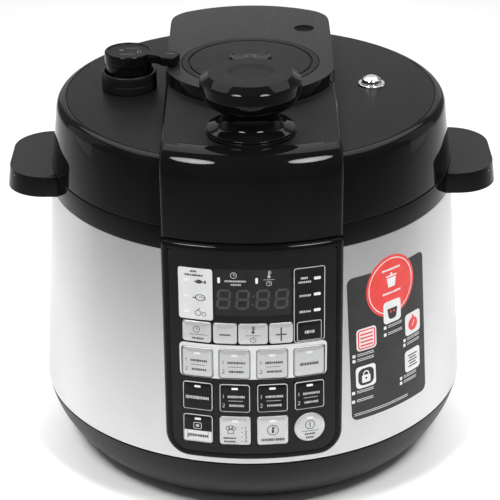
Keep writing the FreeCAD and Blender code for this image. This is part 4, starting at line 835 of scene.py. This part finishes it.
def build_knob():
    """Waisted knob with a foot, a bevelled crown and a dished satin top."""
    low, high = KNOB_LOW.z, KNOB_HIGH.z
    mesh = bmesh.new()
    turned(mesh, rounded([
        (6.05, low), (28.3, low, 0.3), (28.3, low + 0.9, 0.6), (18.4, low + 3.4, 7.0),
        (18.4, low + 12.6, 4.0), (28.6, low + 18.4, 7.0), (32.2, low + 26.0, 1.6), (32.2, low + 32.6, 1.2),
        (31.2, low + 33.6, 0.6),
        (26.4, high, 1.0), (15.6, high, 1.6), (12.6, high - 1.2, 2.0), (0, high - 1.2), (0, low + 14),
        (6.05, low + 14),
    ], 7), knob_centre)
    for face in mesh.faces:
        middle = face.calc_center_median()
        face.material_index = 0 if middle.z > high - 1.6 else 1
    finish_piece("knob_grip", mesh, "knob", "lid_top_grey", ["lid_knob"], 38.0, ("gloss_black",))


build_knob()

# ---------------------------------------------------------------- steam valve and float valve


def build_socket():
    """Open cup in two parts that the steam valve stands in."""
    low, high, radius = SOCKET_LOW.z, SOCKET_HIGH.z, (SOCKET_HIGH.x - SOCKET_LOW.x) / 2
    seam = low + (high - low) * 0.45
    lathe("valve_cup", [
        (5.0, low), (radius, low, 0.3), (radius, seam - 0.25, 0.1), (radius - 0.3, seam, 0.05),
        (radius, seam + 0.25, 0.1), (radius, high, 1.2), (radius - 2.2, high, 0.9),
        (radius - 2.5, low + 2.5, 1.0), (5.0, low + 2.5),
    ], "lid", "satin_black", ["valve_socket"], valve_centre)


lever_turn = Matrix.Rotation(math.radians(-20.0), 4, "Z")
lever_low, lever_high = plateau_top + 1.0, plateau_top + 7.0
valve_low, valve_radius = SOCKET_HIGH.z + 0.5, 16.2
valve_high = valve_low + 13.6


def add_lever(mesh):
    """Lever of the steam valve, which widens to its tip."""
    lever = bmesh.new()
    root_reach = valve_radius - 1.2
    plan = rounded([
        (root_reach, -4.6, 0.5), (24.0, -4.8, 3.0), (27.0, -7.4, 2.5), (36.0, -7.4, 3.0), (36.0, 7.4, 4.0),
        (27.0, 7.4, 3.0), (root_reach, 5.8, 0.5),
    ], 6)
    prism(lever, plan, lever_low, lever_high, 0.7, 0.5)
    joined = bpy.data.meshes.new("lever")
    lever.to_mesh(joined)
    lever.free()
    mesh.from_mesh(joined)
    bpy.data.meshes.remove(joined)


def build_steam_valve():
    """Cap with a recessed face, a waist line and a lever."""
    low, high, radius = valve_low, valve_high, valve_radius
    mesh = bmesh.new()
    turned(mesh, rounded([
        (4.05, low), (7.0, low), (7.0, high - 2.4), (radius - 2.4, high - 2.4), (radius - 2.4, low, 0.4),
        (radius - 0.5, low, 0.4), (radius - 0.5, low + 5.2, 0.3), (radius, low + 5.7, 0.3),
        (radius, high, 1.2), (radius - 1.9, high, 0.4), (radius - 2.3, high - 0.7, 0.4), (0, high - 0.7),
        (0, high - 3), (4.05, high - 3),
    ]), (0.0, 0.0), 120)
    add_lever(mesh)
    bmesh.ops.transform(mesh, matrix=lever_turn, verts=mesh.verts)
    bmesh.ops.translate(mesh, vec=(valve_centre[0], valve_centre[1], 0), verts=mesh.verts)
    bmesh.ops.recalc_face_normals(mesh, faces=mesh.faces)
    for face in mesh.faces:
        flat = face.normal.z > 0.9 and face.calc_center_median().z > high - 1.0
        face.material_index = 1 if flat else 0
    finish_piece("steam_valve_cap", mesh, "steam_valve", "gloss_black", ["steam_valve"], 38.0,
                 ("lid_top_grey",))


def print_steam_valve():
    """Marks on the valve's face, and painted shade for a slit in its lever: a dark printed bar on the lever's top,
    with no cut.
    """
    spot = Matrix.Translation((valve_centre[0], valve_centre[1], 0))
    marks = [dot(-4.7, 1.6, 1.7), bar(2.6, 5.2, 9.0, 1.1, 0.4), bar(-0.4, -6.6, 10.0, 1.2, 0.4),
             bar(6.6, -2.0, 1.0, 7.4, 0.4), bar(8.4, -2.0, 0.8, 6.0, 0.4)]
    printed("steam_valve_marks", marks, lambda x, z, out: spot @ Vector((x, z, valve_high - 0.7 + out)),
            "steam_valve", "print_dark")
    # Painted shade: a dark printed bar on the lever's top stands in for the shadowed inside of a slit that is not
    # cut.
    painted_slit_spot = spot @ lever_turn
    printed("steam_valve_slit_painted_shade", [bar(30.2, 2.0, 6.4, 1.3, 0.5)],
            lambda x, z, out: painted_slit_spot @ Vector((x, z, lever_high + out)), "steam_valve", "print_dark")


def build_float():
    """Bright bezel round the float pin, with the pin's domed head."""
    low, high = BEZEL_HIGH.z - 1.2, BEZEL_HIGH.z
    bottom = BEZEL_LOW.z
    lathe("float_ring", [
        (6.95, bottom), (8.15, bottom), (8.15, low), (9.6, low, 0.2), (8.9, high, 0.5), (6.95, high, 0.3),
    ], "lid", "polished_steel", ["float_bezel"], float_centre)
    pin_low, pin_high = box_mm("float_pin")
    stem_top, dome = low - 1.0, 6.6
    lathe("float_dome", [
        (0, pin_low.z), (4.5, pin_low.z, 0.3), (4.5, pin_low.z + 2, 0.3), (2.5, pin_low.z + 2),
        (2.5, stem_top), (dome, stem_top), (dome, pin_high.z - 2.2, 1.4), (3.4, pin_high.z - 0.2, 2.6),
        (0, pin_high.z),
    ], "float_pin", "polished_steel", ["float_pin"], float_centre)


build_socket()
build_steam_valve()
print_steam_valve()
build_float()

# ---------------------------------------------------------------- control panel


def on_panel(x, z, out):
    """Point on the panel's curved front, raised by out."""
    radius = panel_radius(z) + out
    return Vector((x, -math.sqrt(radius ** 2 - x ** 2), z))


def panel_loop(inset, out):
    """One outline of the panel, inset from its edge; out None lies on the steel shell."""
    half, low, high = panel_half - inset, PANEL_LOW.z + inset, PANEL_HIGH.z - inset
    foot, head = max(15.0 - inset, 0.5), max(3.0 - inset, 0.5)
    corners = rounded([(half, low, foot), (half, high, head), (-half, high, head), (-half, low, foot)], 10)
    points = []
    for index, corner in enumerate(corners):
        points.append(corner)
        if index % 11 == 10:
            follow = corners[(index + 1) % len(corners)]
            points.extend(corner.lerp(follow, step / 24) for step in range(1, 24))
    if out is None:
        return [on_panel(p.x, p.y, shell_radius(p.y) + 0.3 - panel_radius(p.y)) for p in points]
    return [on_panel(point.x, point.y, out) for point in points]


def build_housing():
    """Curved frame with a rounded lip round the recessed fascia."""
    lip, steps, margin = 2.4, 6, 4.5
    loops = [panel_loop(0, None)]
    for step in range(steps + 1):
        angle = math.pi / 2 * step / steps
        loops.append(panel_loop(lip * (1 - math.cos(angle)), lip * (math.sin(angle) - 1)))
    loops += [panel_loop(margin - 0.6, 0), panel_loop(margin - 0.1, -0.15), panel_loop(margin, -0.5),
              panel_loop(margin, -2.2), panel_loop(margin, None)]
    mesh = bmesh.new()
    loops_to_faces(mesh, loops, closed=True)
    finish_piece("panel_frame", mesh, "root", "gloss_black", ["panel_housing"], 40.0)


build_housing()
FASCIA = -0.3
PRINT_STEP = (4.0, 0.0)
KEY_STEP = (1.5, 1.5)


def across(angle, level):
    """Sideways place of a panel angle in degrees at a level."""
    return panel_radius(level) * math.sin(math.radians(angle))


class KeyPlace:
    """Measures one CAD key and gives points on its front."""

    def __init__(self, name):
        joint = next(entry for entry in frame["joints"] if entry["child"] == name)
        self.inward = Vector(joint["axis"]).normalized()
        self.side = Vector((-self.inward.y, self.inward.x, 0)).normalized() * -1
        self.up = self.side.cross(self.inward)
        low, high = box_mm(name)
        level = (low.z + high.z) / 2
        turn = math.atan2(-self.inward.x, self.inward.y)
        reach = panel_radius(level)
        self.origin = Vector((reach * math.sin(turn), -reach * math.cos(turn), level))
        spots = [vert.co / MM - self.origin for vert in NODES[name].data.vertices]
        front = [spot for spot in spots if -spot.dot(self.inward) > 0.2]
        xs = [spot.dot(self.side) for spot in front]
        zs = [spot.dot(self.up) for spot in front]
        self.width, self.height = max(xs) - min(xs), max(zs) - min(zs)
        self.shift = (max(zs) + min(zs)) / 2
        self.back = max(spot.dot(self.inward) for spot in spots)

    def point(self, x, z, out):
        return self.origin + self.side * x + self.up * (z + self.shift) - self.inward * out


KEY_PROUD = 0.6
KEY_PILLOW = [(0.0, -3.0), (0.0, -0.35), (0.1, -0.2), (0.3, -0.08), (2.6, 0.5), (3.0, 0.57), (3.6, KEY_PROUD)]
ROUND_KEY = "key_lower_4"


def key_outline(name, key, inset):
    if name == ROUND_KEY:
        return disc_shape(0, 0, key.height / 2 - inset, 48)
    corner = max(2.0 - inset * 0.4, 0.6)
    return box_shape(0, 0, key.width - 2 * inset, key.height - 2 * inset, corner)


def build_key(name, slot):
    key = KeyPlace(name)
    mesh = bmesh.new()
    loops = [[key.point(p.x, p.y, out) for p in key_outline(name, key, inset)] for inset, out in KEY_PILLOW]
    loops_to_faces(mesh, loops, cap_first=True, cap_last=True)
    round_stem = disc_shape(0, -key.shift, 2.0, 24)
    stem = [[key.point(p.x, p.y, out) for p in round_stem] for out in (-key.back, -2.6)]
    loops_to_faces(mesh, stem, cap_first=True, cap_last=True)
    finish_piece(f"{name}_cap", mesh, name, slot, [name], 50.0)
    return key


def key_surface(inset):
    """Height of a key's pillow at a way in from its edge."""
    for (near, low), (far, high) in zip(KEY_PILLOW[1:], KEY_PILLOW[2:]):
        if inset <= far:
            return low + (high - low) * max(inset - near, 0) / (far - near)
    return KEY_PROUD


def on_key(key):
    def place(x, z, out):
        inset = min(key.width / 2 - abs(x), key.height / 2 - abs(z))
        return key.point(x, z, out + key_surface(max(inset, 0.2)))
    return place


def key_print(name, shapes, slot, tag="marks"):
    printed(f"{name}_{tag}", shapes, on_key(KEYS[name]), name, slot, KEY_STEP)


def key_edge(name, margin, line, corner=1.8):
    """Frame printed just inside a key's edge."""
    key = KEYS[name]
    return frame_shape(0, 0, key.width - margin, key.height - margin, corner, line)


def led(z):
    return bar(0, z, 4.2, 1.5, 0.5)


def two_lines(number_height=2.4):
    """Two numbered word rows with a rule between them."""
    shapes = [bar(0.6, -1.6, 9.5, 0.35, 0.1)]
    for number, z in ((1, 1.4), (2, -5.0)):
        shapes += digit_strokes(number, -7.4, z, number_height)
        shapes += word_bars(1.2, z, 11.5 if number == 1 else 9.5, 1.7)
    return shapes


def chef_hat(x, z):
    puffs = ((-1.9, 1.6, 1.5), (0, 2.2, 1.7), (1.9, 1.6, 1.5))
    crown = [ring_shape(x + dx, z + dz, radius, 0.45) for dx, dz, radius in puffs]
    return crown + [frame_shape(x, z - 1.0, 4.0, 3.4, 0.4, 0.45)]


KEY_SLOTS = {part["node"]: part["material_slot"] for part in frame["record"]["subparts"]}
KEYS = {name: build_key(name, KEY_SLOTS[name]) for name in sorted(KEY_SLOTS) if name.startswith("key_")}


def print_top_keys():
    """Clock, minus, timer, plus and mode keys of the top row."""
    rule, minus = bar(1.5, -1.6, 12, 0.35, 0.1), bar(0, -0.6, 7.0, 0.9, 0.2)
    clock = clock_icon(0, 2.0, 2.4, 0.4)
    key_print("key_clock", clock + [rule] + word_bars(1.0, -4.4, 8.0, 1.5), "print_dark")
    key_print("key_left_step", [minus], "print_dark")
    plus = [minus, bar(0, 2.1, 0.9, 4.4, 0.2), bar(0, -3.3, 0.9, 4.4, 0.2)]
    key_print("key_right_step", plus, "print_dark")
    key_print("key_timer", thermometer_icon(0, 3.2, 5.0, 0.4) + [bar(0, -0.8, 9.0, 0.35, 0.1)]
              + clock_icon(0, -4.0, 2.1), "print_dark")
    edge = key_edge("key_mode", 0.8, 0.45, 1.4)
    key_print("key_mode", [edge] + word_bars(0, -0.6, 6.4, 2.2), "print_silver")


def print_column(column):
    """Marks, edges and lamps of the three programme keys in one column."""
    upper, middle, lower = (f"key_{row}_{column}" for row in ("upper", "middle", "lower"))
    key_print(upper, two_lines() if column < 4 else word_bars(0, -1.6, 13.0, 2.2), "print_dark")
    key_print(upper, [led(6.6)], "print_white", "light")
    key_print(upper, [key_edge(upper, 0.5, 0.3)], "print_grey", "edge")
    marks = two_lines() if column > 1 else word_bars(0, -1.0, 16.0, 2.4)
    key_print(middle, marks + [key_edge(middle, 0.4, 0.55)], "print_silver")
    key_print(middle, [led(7.2)], "print_white", "light")
    key_print(lower, [led(7.2)], "print_white", "light")


def print_lower_keys():
    """Cancel, manual, warm and start keys of the last row."""
    screen = [frame_shape(-0.2, 2.2, 5.6, 4.8, 1.0, 0.5), bar(-0.2, 2.2, 2.2, 1.8, 0.2)]
    key_print("key_lower_1", [key_edge("key_lower_1", 0.4, 0.55)] + screen, "print_silver")
    key_print("key_lower_1", [bar(0, -5.4, 18.4, 8.0, 1.2)], "light_plate", "plate")
    printed("key_lower_1_word", word_bars(0, -5.0, 14.0, 2.2), on_key(KEYS["key_lower_1"]), "key_lower_1",
            "print_dark", lift=0.03)
    manual = chef_hat(-2.8, 0.6) + word_bars(-3.4, -5.2, 8.6, 1.5) + word_bars(-3.4, -7.8, 7.6, 1.5)
    for number, z in ((1, 2.6), (2, -0.7), (3, -4.0), (4, -7.3)):
        manual += digit_strokes(number, 7.0, z, 2.2) + [dot(4.6, z, 0.4, 10)]
    key_print("key_lower_2", manual, "print_dark")
    warm = [ring_shape(0, 0.6, 3.8, 0.5)] + thermometer_icon(0, 0.8, 4.6, 0.5) + word_bars(0, -6.4, 15.5, 2.2)
    key_print("key_lower_3", warm, "print_dark")
    start = [ring_shape(0, 2.2, 3.4, 0.5), bar(0, 2.2, 0.6, 4.2, 0.2), bar(0, -2.4, 11.0, 0.4, 0.1)]
    start += word_bars(0, -4.6, 7.0, 1.6) + word_bars(0, -7.2, 5.6, 1.6)
    key_print(ROUND_KEY, start, "print_dark")


print_top_keys()
for column in range(1, 5):
    print_column(column)
print_lower_keys()


def on_fascia(x, z, out):
    return on_panel(x, z, out + FASCIA)


def fascia_print(name, shapes, slot, lift=0.0, step=PRINT_STEP):
    printed(name, shapes, on_fascia, "root", slot, step, lift)


def print_dial_surround():
    """Closes the square opening round the round key."""
    dial = KEYS[ROUND_KEY]
    x, z = dial.origin.x, dial.origin.z + dial.shift
    lean = math.hypot(dial.inward.y, dial.inward.z)
    gap = [Vector((x + point.x * lean, z + point.y)) for point in disc_shape(0, 0, dial.height / 2 + 0.3, 48)]
    fascia_print("dial_surround", [filled(box_shape(x, z, 22.4, 23.0, 2.4), gap)], "panel_black",
                 step=(1.5, 0.0))


def print_panel():
    """Light plates, outlines, lamps and icons printed on the fascia."""
    level = (110.9 + 134.8) / 2
    holes = []
    for column in range(1, 5):
        key = KEYS[f"key_upper_{column}"]
        holes.append(box_shape(key.origin.x, key.origin.z, key.width * 0.99 + 0.7, key.height + 0.8, 2.2))
    fascia_print("row_plate", [filled(box_shape(0, level, 95.0, 24.2, 3.0), *holes)], "light_plate")
    left = across(-14.4, 170.0)
    fascia_print("food_plate", [bar(left, 169.7, 21.8, 35.6, 1.6)], "light_plate")
    lamps = [bar(left - 6.0, z, 3.4, 1.7, 0.6) for z in (178.9, 167.9, 157.1)]
    icons = word_bars(left - 1.0, 185.2, 4.4, 1.3) + word_bars(left - 0.6, 182.6, 12.0, 1.3)
    icons += fish_icon(left + 2.6, 178.3) + bird_icon(left + 3.0, 167.3) + root_icon(left + 3.0, 156.5)
    fascia_print("food_icons", icons, "print_dark", 0.04)
    right = across(14.3, 165.0)
    outline = frame_shape(right, 161.4, 20.0, 52.0, 1.8, 0.5)
    words = word_bars(right - 3.4, 180.2, 4.4, 1.5) + word_bars(right - 3.0, 177.4, 8.0, 1.5)
    words += word_bars(right - 2.8, 168.0, 7.2, 1.6) + word_bars(right - 2.8, 156.8, 7.2, 1.6)
    fascia_print("mode_outline", [outline] + words, "print_silver")
    lamps += [bar(right + 5.0, z, 4.4, 2.0, 0.7) for z in (179.3, 168.2, 157.1)]
    fascia_print("panel_lamps", lamps, "print_white", 0.05)


def fish_icon(x, z):
    """Fish: a lens-shaped body with a tail and an eye."""
    shares = [step / 12 for step in range(13)]
    body = [Vector((x - 3.4 + 6.0 * share, z + 1.5 * math.sin(math.pi * share))) for share in shares]
    body += [Vector((x + 2.6 - 6.0 * share, z - 1.3 * math.sin(math.pi * share))) for share in shares[1:-1]]
    tail = [Vector((x + 2.2, z)), Vector((x + 4.2, z + 1.4)), Vector((x + 4.2, z - 1.4))]
    eye = disc_shape(x - 1.9, z + 0.4, 0.35, 10)
    return [filled(body, eye), filled(tail)]


def bird_icon(x, z):
    """Roast bird: an oval outline with a leg."""
    oval = [Vector((point.x * 1.5 + x, point.y + z)) for point in disc_shape(0, 0, 2.3)]
    inner = [Vector((point.x * 1.5 + x, point.y + z)) for point in disc_shape(0, 0, 1.85)]
    leg = strokes([(x - 2.6, z - 0.6), (x - 4.8, z - 0.2)], 0.7)
    wing = strokes([(x - 0.8, z + 0.4), (x + 1.2, z + 0.6), (x + 2.2, z - 0.6)], 0.4)
    return [filled(oval, inner)] + leg + wing


def root_icon(x, z):
    """Vegetables: two outlined bulbs with a stalk."""
    return [ring_shape(x - 1.6, z, 2.0, 0.45), ring_shape(x + 2.2, z - 0.6, 1.5, 0.4)] + strokes(
        [(x - 1.6, z + 2.0), (x - 0.6, z + 3.2)], 0.5)


print_dial_surround()
print_panel()

# ---------------------------------------------------------------- display


def on_window(x, z, out):
    """Point on the window, which lies a little behind the fascia."""
    return on_panel(x, z, out + FASCIA - 0.2)


def seven_segments(x, z, width, height, line, lean=0.08):
    """All seven segments of one digit, unlit."""
    shapes = []

    def segment(a, b):
        start, end = Vector(a), Vector(b)
        along = (end - start).normalized()
        side = along.orthogonal() * (line / 2)
        tip = along * (line / 2)
        gap = along * 0.18
        start, end = start + gap, end - gap
        corners = [start, start + tip + side, end - tip + side, end, end - tip - side, start + tip - side]
        shapes.append(filled([Vector((p.x + (p.y - z) * lean, p.y)) for p in corners]))

    left, right, top, bottom = x - width / 2, x + width / 2, z + height / 2, z - height / 2
    for level in (bottom, z, top):
        segment((left, level), (right, level))
    for place in (left, right):
        segment((place, bottom), (place, z))
        segment((place, z), (place, top))
    return shapes


def print_display():
    """Unlit digits, lamps and icons on the display window."""
    low, high = box_mm("display_window")
    middle = (low.z + high.z) / 2
    digits = []
    for x in (-18.4, -6.4, 6.4, 18.4):
        digits += seven_segments(x, middle - 4.6, 7.2, 12.2, 1.7)
    digits += [dot(0.2, middle - 2.4, 0.7, 16), dot(-0.2, middle - 8.0, 0.7, 16)]
    printed("display_digits", digits, on_window, "root", "segment_grey", PRINT_STEP)
    lamps = [bar(x, middle + 8.4, 1.7, 4.0, 0.7) for x in (-21.4, 2.6)]
    printed("display_lamps", lamps, on_window, "root", "print_white", PRINT_STEP, 0.02)
    icons = clock_icon(-12.0, middle + 12.0, 2.1, 0.4) + thermometer_icon(10.4, middle + 12.6, 5.0, 0.4)
    icons += [bar(10.4, middle + 9.0, 7.2, 0.3, 0.1)] + clock_icon(10.4, middle + 6.4, 1.8, 0.35)
    icons += word_bars(-10.6, middle + 8.0, 14.0, 1.3) + word_bars(-10.6, middle + 5.6, 6.4, 1.3)
    printed("display_icons", icons, on_window, "root", "print_silver", PRINT_STEP)


print_display()

# ---------------------------------------------------------------- label on the shell

LABEL_TURN = math.radians(38.75)
LABEL_HALF = 33.8


def on_label(x, z, out):
    """Point on the shell, x millimetres sideways from the label's middle."""
    radius = shell_radius(z) + out
    turn = LABEL_TURN + math.asin(x / radius)
    return Vector((radius * math.sin(turn), -radius * math.cos(turn), z))


def label_square(x, z, size=15.6):
    return bar(x, z, size, size, 2.6)


def label_print(name, shapes, slot, layer):
    return printed(name, shapes, on_label, "root", slot, PRINT_STEP, layer)


def build_label():
    """Sheet with generic marks, printed in layers that lie one on the other."""
    middle, height = (LABEL_LOW.z + LABEL_HIGH.z) / 2, LABEL_HIGH.z - LABEL_LOW.z
    base = 0.06
    sheet = label_print("body_label", [bar(2.0, middle, 2 * LABEL_HALF, height, 4.5)], "label_grey", base)
    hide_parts("info_label")
    label_print("label_disc", [dot(3.6, 157.2, 21.4, 64)], "print_red", base + 0.05)
    marks = [ring_shape(3.6, 157.2, 19.6, 0.6), label_square(3.6, 139.0), label_square(-20.0, 99.2),
             label_square(23.2, 123.6), label_square(22.0, 97.2), label_square(-18.6, 126.0)]
    pot = [filled([Vector((-0.4, 163)), Vector((7.6, 163)), Vector((6.6, 156.5)), Vector((0.6, 156.5))])]
    marks += pot + [bar(3.6, 164.4, 9.4, 1.0, 0.4), dot(3.6, 165.8, 0.9, 16)]
    marks += [shape for level in (169.0, 152.6) for shape in word_bars(3.6, level, 16.0, 1.5)]
    for x, z in ((-28.7, 115.5), (-28.8, 112.0), (-30.0, 89.1), (-30.3, 82.8), (-3.2, 128.8), (-3.3, 123.8),
                 (14.4, 113.6), (14.1, 110.2), (10.0, 87.2), (9.9, 83.7)):
        marks.append(bar(x, z, 2.2, 2.2, 0.4))
        marks += [bar(x + 9.0, z + drop, 13.0, 0.35, 0.1) for drop in (0.7, -0.5)]
    marks += [bar(-7.0, z, 46.0, 0.3, 0.1) for z in (73.6, 72.4)]
    label_print("label_marks", marks, "print_white", base + 0.09)
    dark = [filled([Vector((-1.0, 141.4)), Vector((8.2, 141.4)), Vector((7.0, 135.0)), Vector((5.4, 133.8)),
                    Vector((1.8, 133.8)), Vector((0.2, 135.0))])]
    dark += [bar(-20.0, 99.2, 12.2, 12.2, 4.0)]
    dark += [bar(22.0, z, width, 0.9, 0.2) for z, width in ((101, 9), (99, 7), (97, 9), (95, 7), (93, 9))]
    label_print("label_dark_marks", dark, "label_grey", base + 0.12)
    lock_body = filled(box_shape(-20.0, 97.6, 6.6, 5.4, 0.8), disc_shape(-20.0, 98.0, 0.9, 12))
    label_print("label_lock", [ring_shape(-20.0, 101.0, 2.4, 0.8), lock_body], "print_white", base + 0.15)
    red = [dot(23.2, 123.0, 4.7, 32), bar(23.2, 128.6, 1.6, 1.6, 0.3),
           frame_shape(-18.6, 126.0, 13.6, 13.6, 2.0, 0.9)]
    red += [bar(-18.6, z, 10.0, 1.1, 0.3) for z in (129.6, 127.0, 124.4, 121.8)]
    red += [dot(x, 139.0, 0.8, 12) for x in (2.2, 5.0)]
    label_print("label_red_marks", red, "print_red", base + 0.15)
    hand = strokes([(22.4, 121.6), (24.6, 125.2)], 0.6)
    label_print("label_clock_hand", hand, "print_white", base + 0.18)


build_label()

# ---------------------------------------------------------------- floor, light and camera


def build_floor():
    """Pale floor sheet with a faint unevenness."""
    mesh = bmesh.new()
    reach, cells = 6.0, 24
    bmesh.ops.create_grid(mesh, x_segments=cells, y_segments=cells, size=reach)
    data = bpy.data.meshes.new("floor")
    mesh.to_mesh(data)
    mesh.free()
    floor = bpy.data.objects.new("floor", data)
    SCENE.collection.objects.link(floor)
    finish = Finish("floor_paint", 0.6, Specular_IOR_Level=0.2)
    finish.colour(finish.noise(3.0, 2.0), grey(0.86), grey(0.9))
    finish.rough(finish.noise(30.0, 3.0), 0.55, 0.7)
    data.materials.append(finish.material)


def area_light(name, place, aim, width, height, power, spread, shape="RECTANGLE"):
    data = bpy.data.lights.new(name, "AREA")
    data.shape = shape
    data.size, data.size_y = width, height
    data.energy = power
    data.spread = math.radians(spread)
    light = bpy.data.objects.new(name, data)
    light.location = place
    light.rotation_mode = "QUATERNION"
    light.rotation_quaternion = (Vector(aim) - Vector(place)).to_track_quat("-Z", "Y")
    SCENE.collection.objects.link(light)


def build_world(strength):
    world = bpy.data.worlds.new("studio")
    world.use_nodes = True
    background = world.node_tree.nodes["Background"]
    background.inputs["Color"].default_value = (1.0, 1.0, 1.0, 1.0)
    background.inputs["Strength"].default_value = strength
    SCENE.world = world


def build_camera():
    """Lens and place that give the product view from a little above."""
    focal_share, elevation, distance = 3.83, 25.66, 1.3592
    aim = Vector((0.0, 0.0, 0.1323))
    roll, shift = math.radians(-0.57), -0.0044
    tilt = math.radians(elevation)
    back = Vector((0.0, -math.cos(tilt), math.sin(tilt)))
    data = bpy.data.cameras.new("product_view")
    data.sensor_width = 36.0
    data.lens = data.sensor_width * focal_share
    data.shift_x = shift
    data.clip_start, data.clip_end = 0.05, 50.0
    camera = bpy.data.objects.new("product_view", data)
    camera.location = aim + back * distance
    camera.rotation_mode = "QUATERNION"
    level_view = (-back).to_track_quat("-Z", "Y")
    camera.rotation_quaternion = level_view @ Matrix.Rotation(roll, 3, "Z").to_quaternion()
    SCENE.collection.objects.link(camera)
    SCENE.camera = camera


build_floor()
build_world(0.2)
area_light("back_softbox", (0.0, 0.85, 1.6), (0.0, 0.5, 0.0), 2.4, 1.5, 17.0, 120)
area_light("rear_wall", (0.0, 2.2, 0.9), (0.0, 0.0, 0.3), 2.6, 1.2, 4.0, 160)
for side in (-1, 1):
    area_light(f"front_lamp_{side + 1}", (side * 0.70, -0.80, 1.75), (0, 0, 0.1), 0.56, 0.56, 1.7, 40, "DISK")
    area_light(f"side_softbox_{side + 1}", (side * 0.9, 0.3, 0.45), (0, 0, 0.2), 0.45, 0.9, 0.4, 150)
build_camera()
SCENE.view_settings.view_transform = "Standard"
